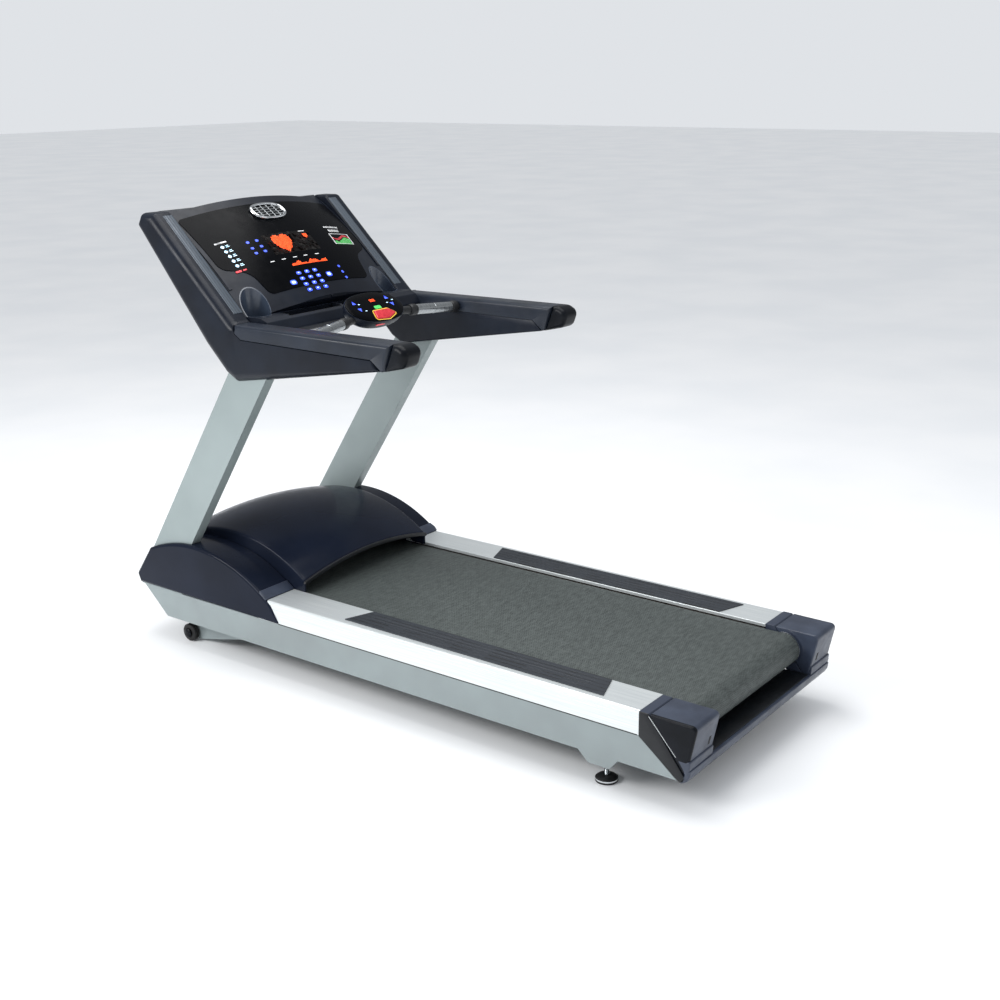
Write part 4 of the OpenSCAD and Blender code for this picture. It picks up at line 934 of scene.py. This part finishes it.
# %% Lamps and keys
lines = np.arange(18, -67, -21)
prints("program_icons", pale_ink, tiles(grid_of((-277,), lines), 13, 12, 0.4),
       tiles(grid_of((-258,), lines + 3), 11, 2.6), tiles(grid_of((-258,), lines - 3), 14, 2.6))
prints("program_heading", white_ink, tiles(grid_of(np.arange(-290, -253, 9), (37,)), 9, 6, 0))
prints("program_footer", red_ink, tiles([[-286, -88]], 22, 7, 0.2), tiles([[-262, -88]], 14, 5, 0.2))
keypad, side_keys = grid_of((-80, -43, -6), (-150, -173, -196, -219)), [[-124, -180], [45, -174]]
prints("keypad_keys", blue_ink, tiles(keypad, 19, 12), tiles(grid_of((-181, -143), (10, -17, -39)), 12, 9),
       tiles(grid_of((116,), (-147, -171, -195)), 10, 9), tiles(side_keys, 25, 18))
prints("keypad_lamps", pale_ink, tiles(keypad + (0, 1), 6, 4), tiles(side_keys, 15, 10), lift=2.4)

# %% Program card at the upper right
cells = grid_of(np.arange(-50, 51, 4.0), np.arange(-42, 43, 4.0))
u, v = cells.T
wave = 9 * np.sin(u / 16)
border = (np.abs(v + 42) < 3) | ((np.abs(u) > 46) & (v < 8)) | (np.abs(v - 6) < 3)
heading = ((v > 16) & (v < 28) & (np.abs(u + 12) < 28)) | (v > 36) & (u < 26)
field = (v < -10) & (np.abs(u) < 44) & (v < -22 + wave)
curve = np.abs(v + 12 - wave) < 3.4
place = cells @ np.array([[1.0, 0.0], [0.1, 1.0]]) + (246, -4)
prints("program_card_lines", white_ink, tiles(place[border | heading], 4, 2.6, 0))
prints("program_card_field", green_ink, tiles(place[field], 4, 4, 0))
prints("program_card_curve", red_ink, tiles(place[curve & ~field & ~border], 4, 3, 0))


# %% Marks on the pod
def on_pod_front(flat, lift):
    """A place on the bowl's front face, below the plate."""
    return on_pod(np.stack([flat[..., 0], np.full(flat.shape[:-1], -66.0) - lift], -1),
                  flat[..., 1] - 16)


up_arrow = np.array([[0, 9], [-8, -6], [8, -6]])
prints("pod_arrows", blue_ink, np.stack([up_arrow + (-76, 29), -up_arrow + (-72, -3),
                                         up_arrow + (80, 29), -up_arrow + (84, -3)]), where=on_pod)
prints("pod_arrow_lamps", pale_ink, tiles([[-58, 20], [-52, -12], [98, 14], [66, 6]], 8, 3), where=on_pod)
prints("pod_display", amber_ink, tiles(grid_of(np.arange(1, 23, 3.4), (23, 27, 31)), 2.6, 2.8), where=on_pod)
prints("pod_start_key", green_ink, tiles([[8, -6]], 30, 14, 0.2), where=on_pod, thick=1.2)
prints("pod_front_mark", red_ink, [[[-48, 0], [-4, 0], [-4, 5], [-48, 5]]], where=on_pod_front, lift=0.9)

# %% Fan bezel
seat = math.asin(128 / face_r)
fan_out = math.cos(seat) * face_out + math.sin(seat) * face_along
fan_along = math.cos(seat) * face_along - math.sin(seat) * face_out
fan_centre = on_face(np.array([0, 128.0]), 0)


def on_fan(flat, height):
    """Points of the fan's frame: across, along and out of it."""
    return tilted(flat, height, fan_centre, fan_along, fan_out)


bezel = np.stack([on_fan(oval(69 + 5.8 * math.cos(t), 35.5 + 4.4 * math.cos(t)), 6.5 + 6.5 * math.sin(t))
                  for t in np.linspace(0, 2 * np.pi, 20, endpoint=False)])
piece("fan_bezel_ring", bezel, grid_faces(*bezel.shape[:2], wrap_rows=True), chrome,
      stands_for="fan_bezel")
bars = []
for half_u, half_v, top, spots in ((64, 1.6, 9, [(0, v) for v in (-18, -6, 6, 18)]),
                                   (2, 31, 8, [(u, 0) for u in (-39, -13, 13, 39)])):
    for u, v in spots:
        bar, bar_faces = slab([[u - half_u, v - half_v, 1], [u + half_u, v - half_v, 1],
                               [u + half_u, v + half_v, 1], [u - half_u, v + half_v, 1]], 3, top,
                              (0, 1.2), axes="xyz", steps=3)
        bars.append((on_fan(bar[..., :2], bar[..., 2]), bar_faces))
piece("fan_bezel_grid", *join(*bars), grip_steel)
behind = np.stack([on_fan(oval(64, 31), h) for h in (0.5, 1.5)])
piece("fan_mesh", behind, grid_faces(*behind.shape[:2], capped=True), black_abs)

# %% [markdown]
# ## Feet and wheels
# Feet and wheels are lathe work. A levelling foot is a rubber-faced disc with a chromed rim on a threaded
# stud: the thread is drawn as rings 2 mm apart, since a 14 mm stud has about that pitch. A transport
# wheel is a rubber tyre on a nylon hub, with a groove round its tread.

# %% Levelling feet
foot_x, foot_y = 395.0, 301 - nose_y
turns = np.arange(20, 112, 2.0)
thread = np.stack([np.repeat(turns, 2) + np.tile([0, 1.0], len(turns)),
                   np.tile([6.9, 5.9], len(turns))], 1).tolist()
stud_profile = [[17, 0.01], [17, 7]] + thread + [[112, 5.5], [112, 0.01]]
disc_profile = [[0, 0.01], [0, 30], [1, 32.4], [4, 33], [6, 32.4], [6, 31], [12, 30.6], [15, 27], [17.5, 15],
                [18, 12], [18, 0.01]]
rim_profile = [[6.2, 30], [6.2, 32.6], [7.5, 33], [10.5, 32.6], [10.5, 30]]
hexagon = np.arange(6) * np.pi / 3
nut_rows = rounded_outline(np.stack([13 * np.cos(hexagon), 13 * np.sin(hexagon), np.ones(6)], 1), 0, 3)
nut_rows = np.concatenate([nut_rows, np.zeros((len(nut_rows), 1))], 1)
stud, stud_faces = join(lathe(stud_profile, (0, 0, 0), "z", steps=32),
                        slab(nut_rows, 50, 61.6, (1, 1), axes="xyz", steps=3))
for name, painted_shade_side in (("right", 1), ("left", -1)):
    centre, body = (painted_shade_side * foot_x, foot_y, 0), f"foot_{name}"
    piece(f"foot_{name}_disc", *lathe(disc_profile, centre, "z"), rubber, body=body, stands_for=body)
    piece(f"foot_{name}_rim", *lathe(rim_profile, centre, "z", closed=True), chrome, body=body)
    piece(f"foot_{name}_stud", stud + np.array(centre), stud_faces, chrome, body=body)

# %% Transport wheels
wheel_y, wheel_z, wheel_x = back(200), 31, 374.5
tyre = np.array([[0, 9.5], [0, 24], [0.6, 26], [2.2, 29.6], [4.5, 31], [9.6, 31], [10.8, 28], [13.2, 28],
                 [14.4, 31], [19.5, 31], [21.8, 29.6], [23.4, 26], [24, 24], [24, 17], [21, 16], [21, 9.5]])
tyre, tyre_faces = lathe(tyre, (wheel_x, wheel_y, wheel_z), steps=72, closed=True)
cap_profile = [[400.5, 0.01], [400.5, 15.5], [404, 16], [407, 13], [408.5, 6], [408.7, 0.01]]
cap, cap_faces = lathe(cap_profile, (0, wheel_y, wheel_z), steps=40)
for name, turn in SIDES:
    body = f"wheel_{name}"
    piece(f"wheel_{name}_tyre", turn(tyre), tyre_faces, rubber, body=body, stands_for=body)
    piece(f"axle_cap_{name}", turn(cap), cap_faces, end_black_and_painted_shade, body="lift_frame")

# %% Seam beads under the rails
bead_rear, bead_nose, bead_low, bead_high = 180 - nose_y, back(690), 190.2, 193.4
bead_rows = [[bead_rear, bead_low, 0.4], [bead_nose, bead_low, 0.4], [bead_nose, bead_high, 0.4],
             [bead_rear, bead_high, 0.4]]
piece("rail_seam_beads", *both(*slab(bead_rows, frame_out - 2, frame_out + 0.35, (0, 0.3), steps=2)),
      rubber)

# %% [markdown]
# ## Parts whose shape is right as they are
# Tubes, brackets, rails and everything inside keep the imported shape. The frame sides, uprights, lift frame
# and foot strips have their edges broken by a fine bevel, on a copy with its triangles joined into flat
# faces
# again: a real tube has a radius there, and a perfectly sharp edge never shines. Hidden parts only take
# their finish.

# %% Bevelled copies
def softened(node, m, edge):
    """A copy of a part with its triangles merged into flat faces and a small bevel on its edges."""
    mesh = frame["nodes"][node].data.copy()
    work = bmesh.new()
    work.from_mesh(mesh)
    bmesh.ops.remove_doubles(work, verts=work.verts, dist=5e-6)
    bmesh.ops.dissolve_limit(work, angle_limit=math.radians(0.6), verts=work.verts, edges=work.edges)
    work.to_mesh(mesh)
    work.free()
    mesh.materials.clear()
    mesh.materials.append(m.material)
    mesh.shade_smooth()
    mesh.set_sharp_from_angle(angle=math.radians(40))
    made = bpy.data.objects.new(node + "_soft", mesh)
    scene.collection.objects.link(made)
    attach(made, home[node])
    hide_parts(node)
    bevel = made.modifiers.new("edge", "BEVEL")
    bevel.width, bevel.segments, bevel.limit_method = edge * MM, 3, "ANGLE"
    bevel.angle_limit, bevel.harden_normals = math.radians(35), True


for node, m, edge in (
        ("frame_side_left", frame_coat, 2.5), ("frame_side_right", frame_coat, 2.5),
        ("upright_left", upright_coat, 3.0), ("upright_right", upright_coat, 3.0),
        ("lift_frame", frame_coat, 1.2), ("foot_strips", tread, 0.8)):
    softened(node, m, edge)

# %% Finishes for the rest
finishes = [
    (rail_metal, ["side_rail_left", "side_rail_right"]),
    (frame_coat, ["frame_cross"]),
    (black_paint, ["lift_bridge", "roller_brackets", "console_frame", "fan_motor", "lift_motor"]),
    (steel, ["roller_shafts", "roller_bearings", "tension_bolts", "upright_bolts", "front_roller",
             "rear_roller", "motor_rotor", "lift_tube"]),
    (rubber, ["deck_cushions", "drive_belt"]),
    (console_abs, ["console_front", "console_back", "trim_strips"]),
    (trough_abs_painted_highlight, ["bottle_holders"]), (liner_abs, ["tray_liner"]),
    (black_abs, ["power_inlet", "front_panel", "fan_impeller"]),
    (board, ["deck_board"]), (circuit, ["console_board"]), (enamel, ["motor_body"]),
    (heatsink, ["motor_controller"]), (film, ["console_overlay"]), (stop_red, ["power_switch"])]
for m, nodes in finishes:
    for node in nodes:
        mesh = frame["nodes"][node].data
        mesh.materials.clear()
        mesh.materials.append(m.material)
print("finished", sum(len(nodes) for _, nodes in finishes), "packed parts")

# %% [markdown]
# ## Floor
# The floor is a plain pale sheet, so that nothing competes with the machine. It is not part of it.

# %% Floor
floor_finish = finish("pale floor", None, "#f4f5f6", 0.75)
drift(floor_finish, clouds(floor_finish, 900), "#f2f3f4", "#f8f8f8")
sheet = bpy.data.meshes.new("floor")
wide, low = 40.0, -0.0006
sheet.from_pydata([(-wide, -wide, low), (wide, -wide, low), (wide, wide, low), (-wide, wide, low)], [],
                  [(0, 1, 2, 3)])
sheet.materials.append(floor_finish.material)
floor = bpy.data.objects.new("floor", sheet)
scene.collection.objects.link(floor)
print("floor laid")
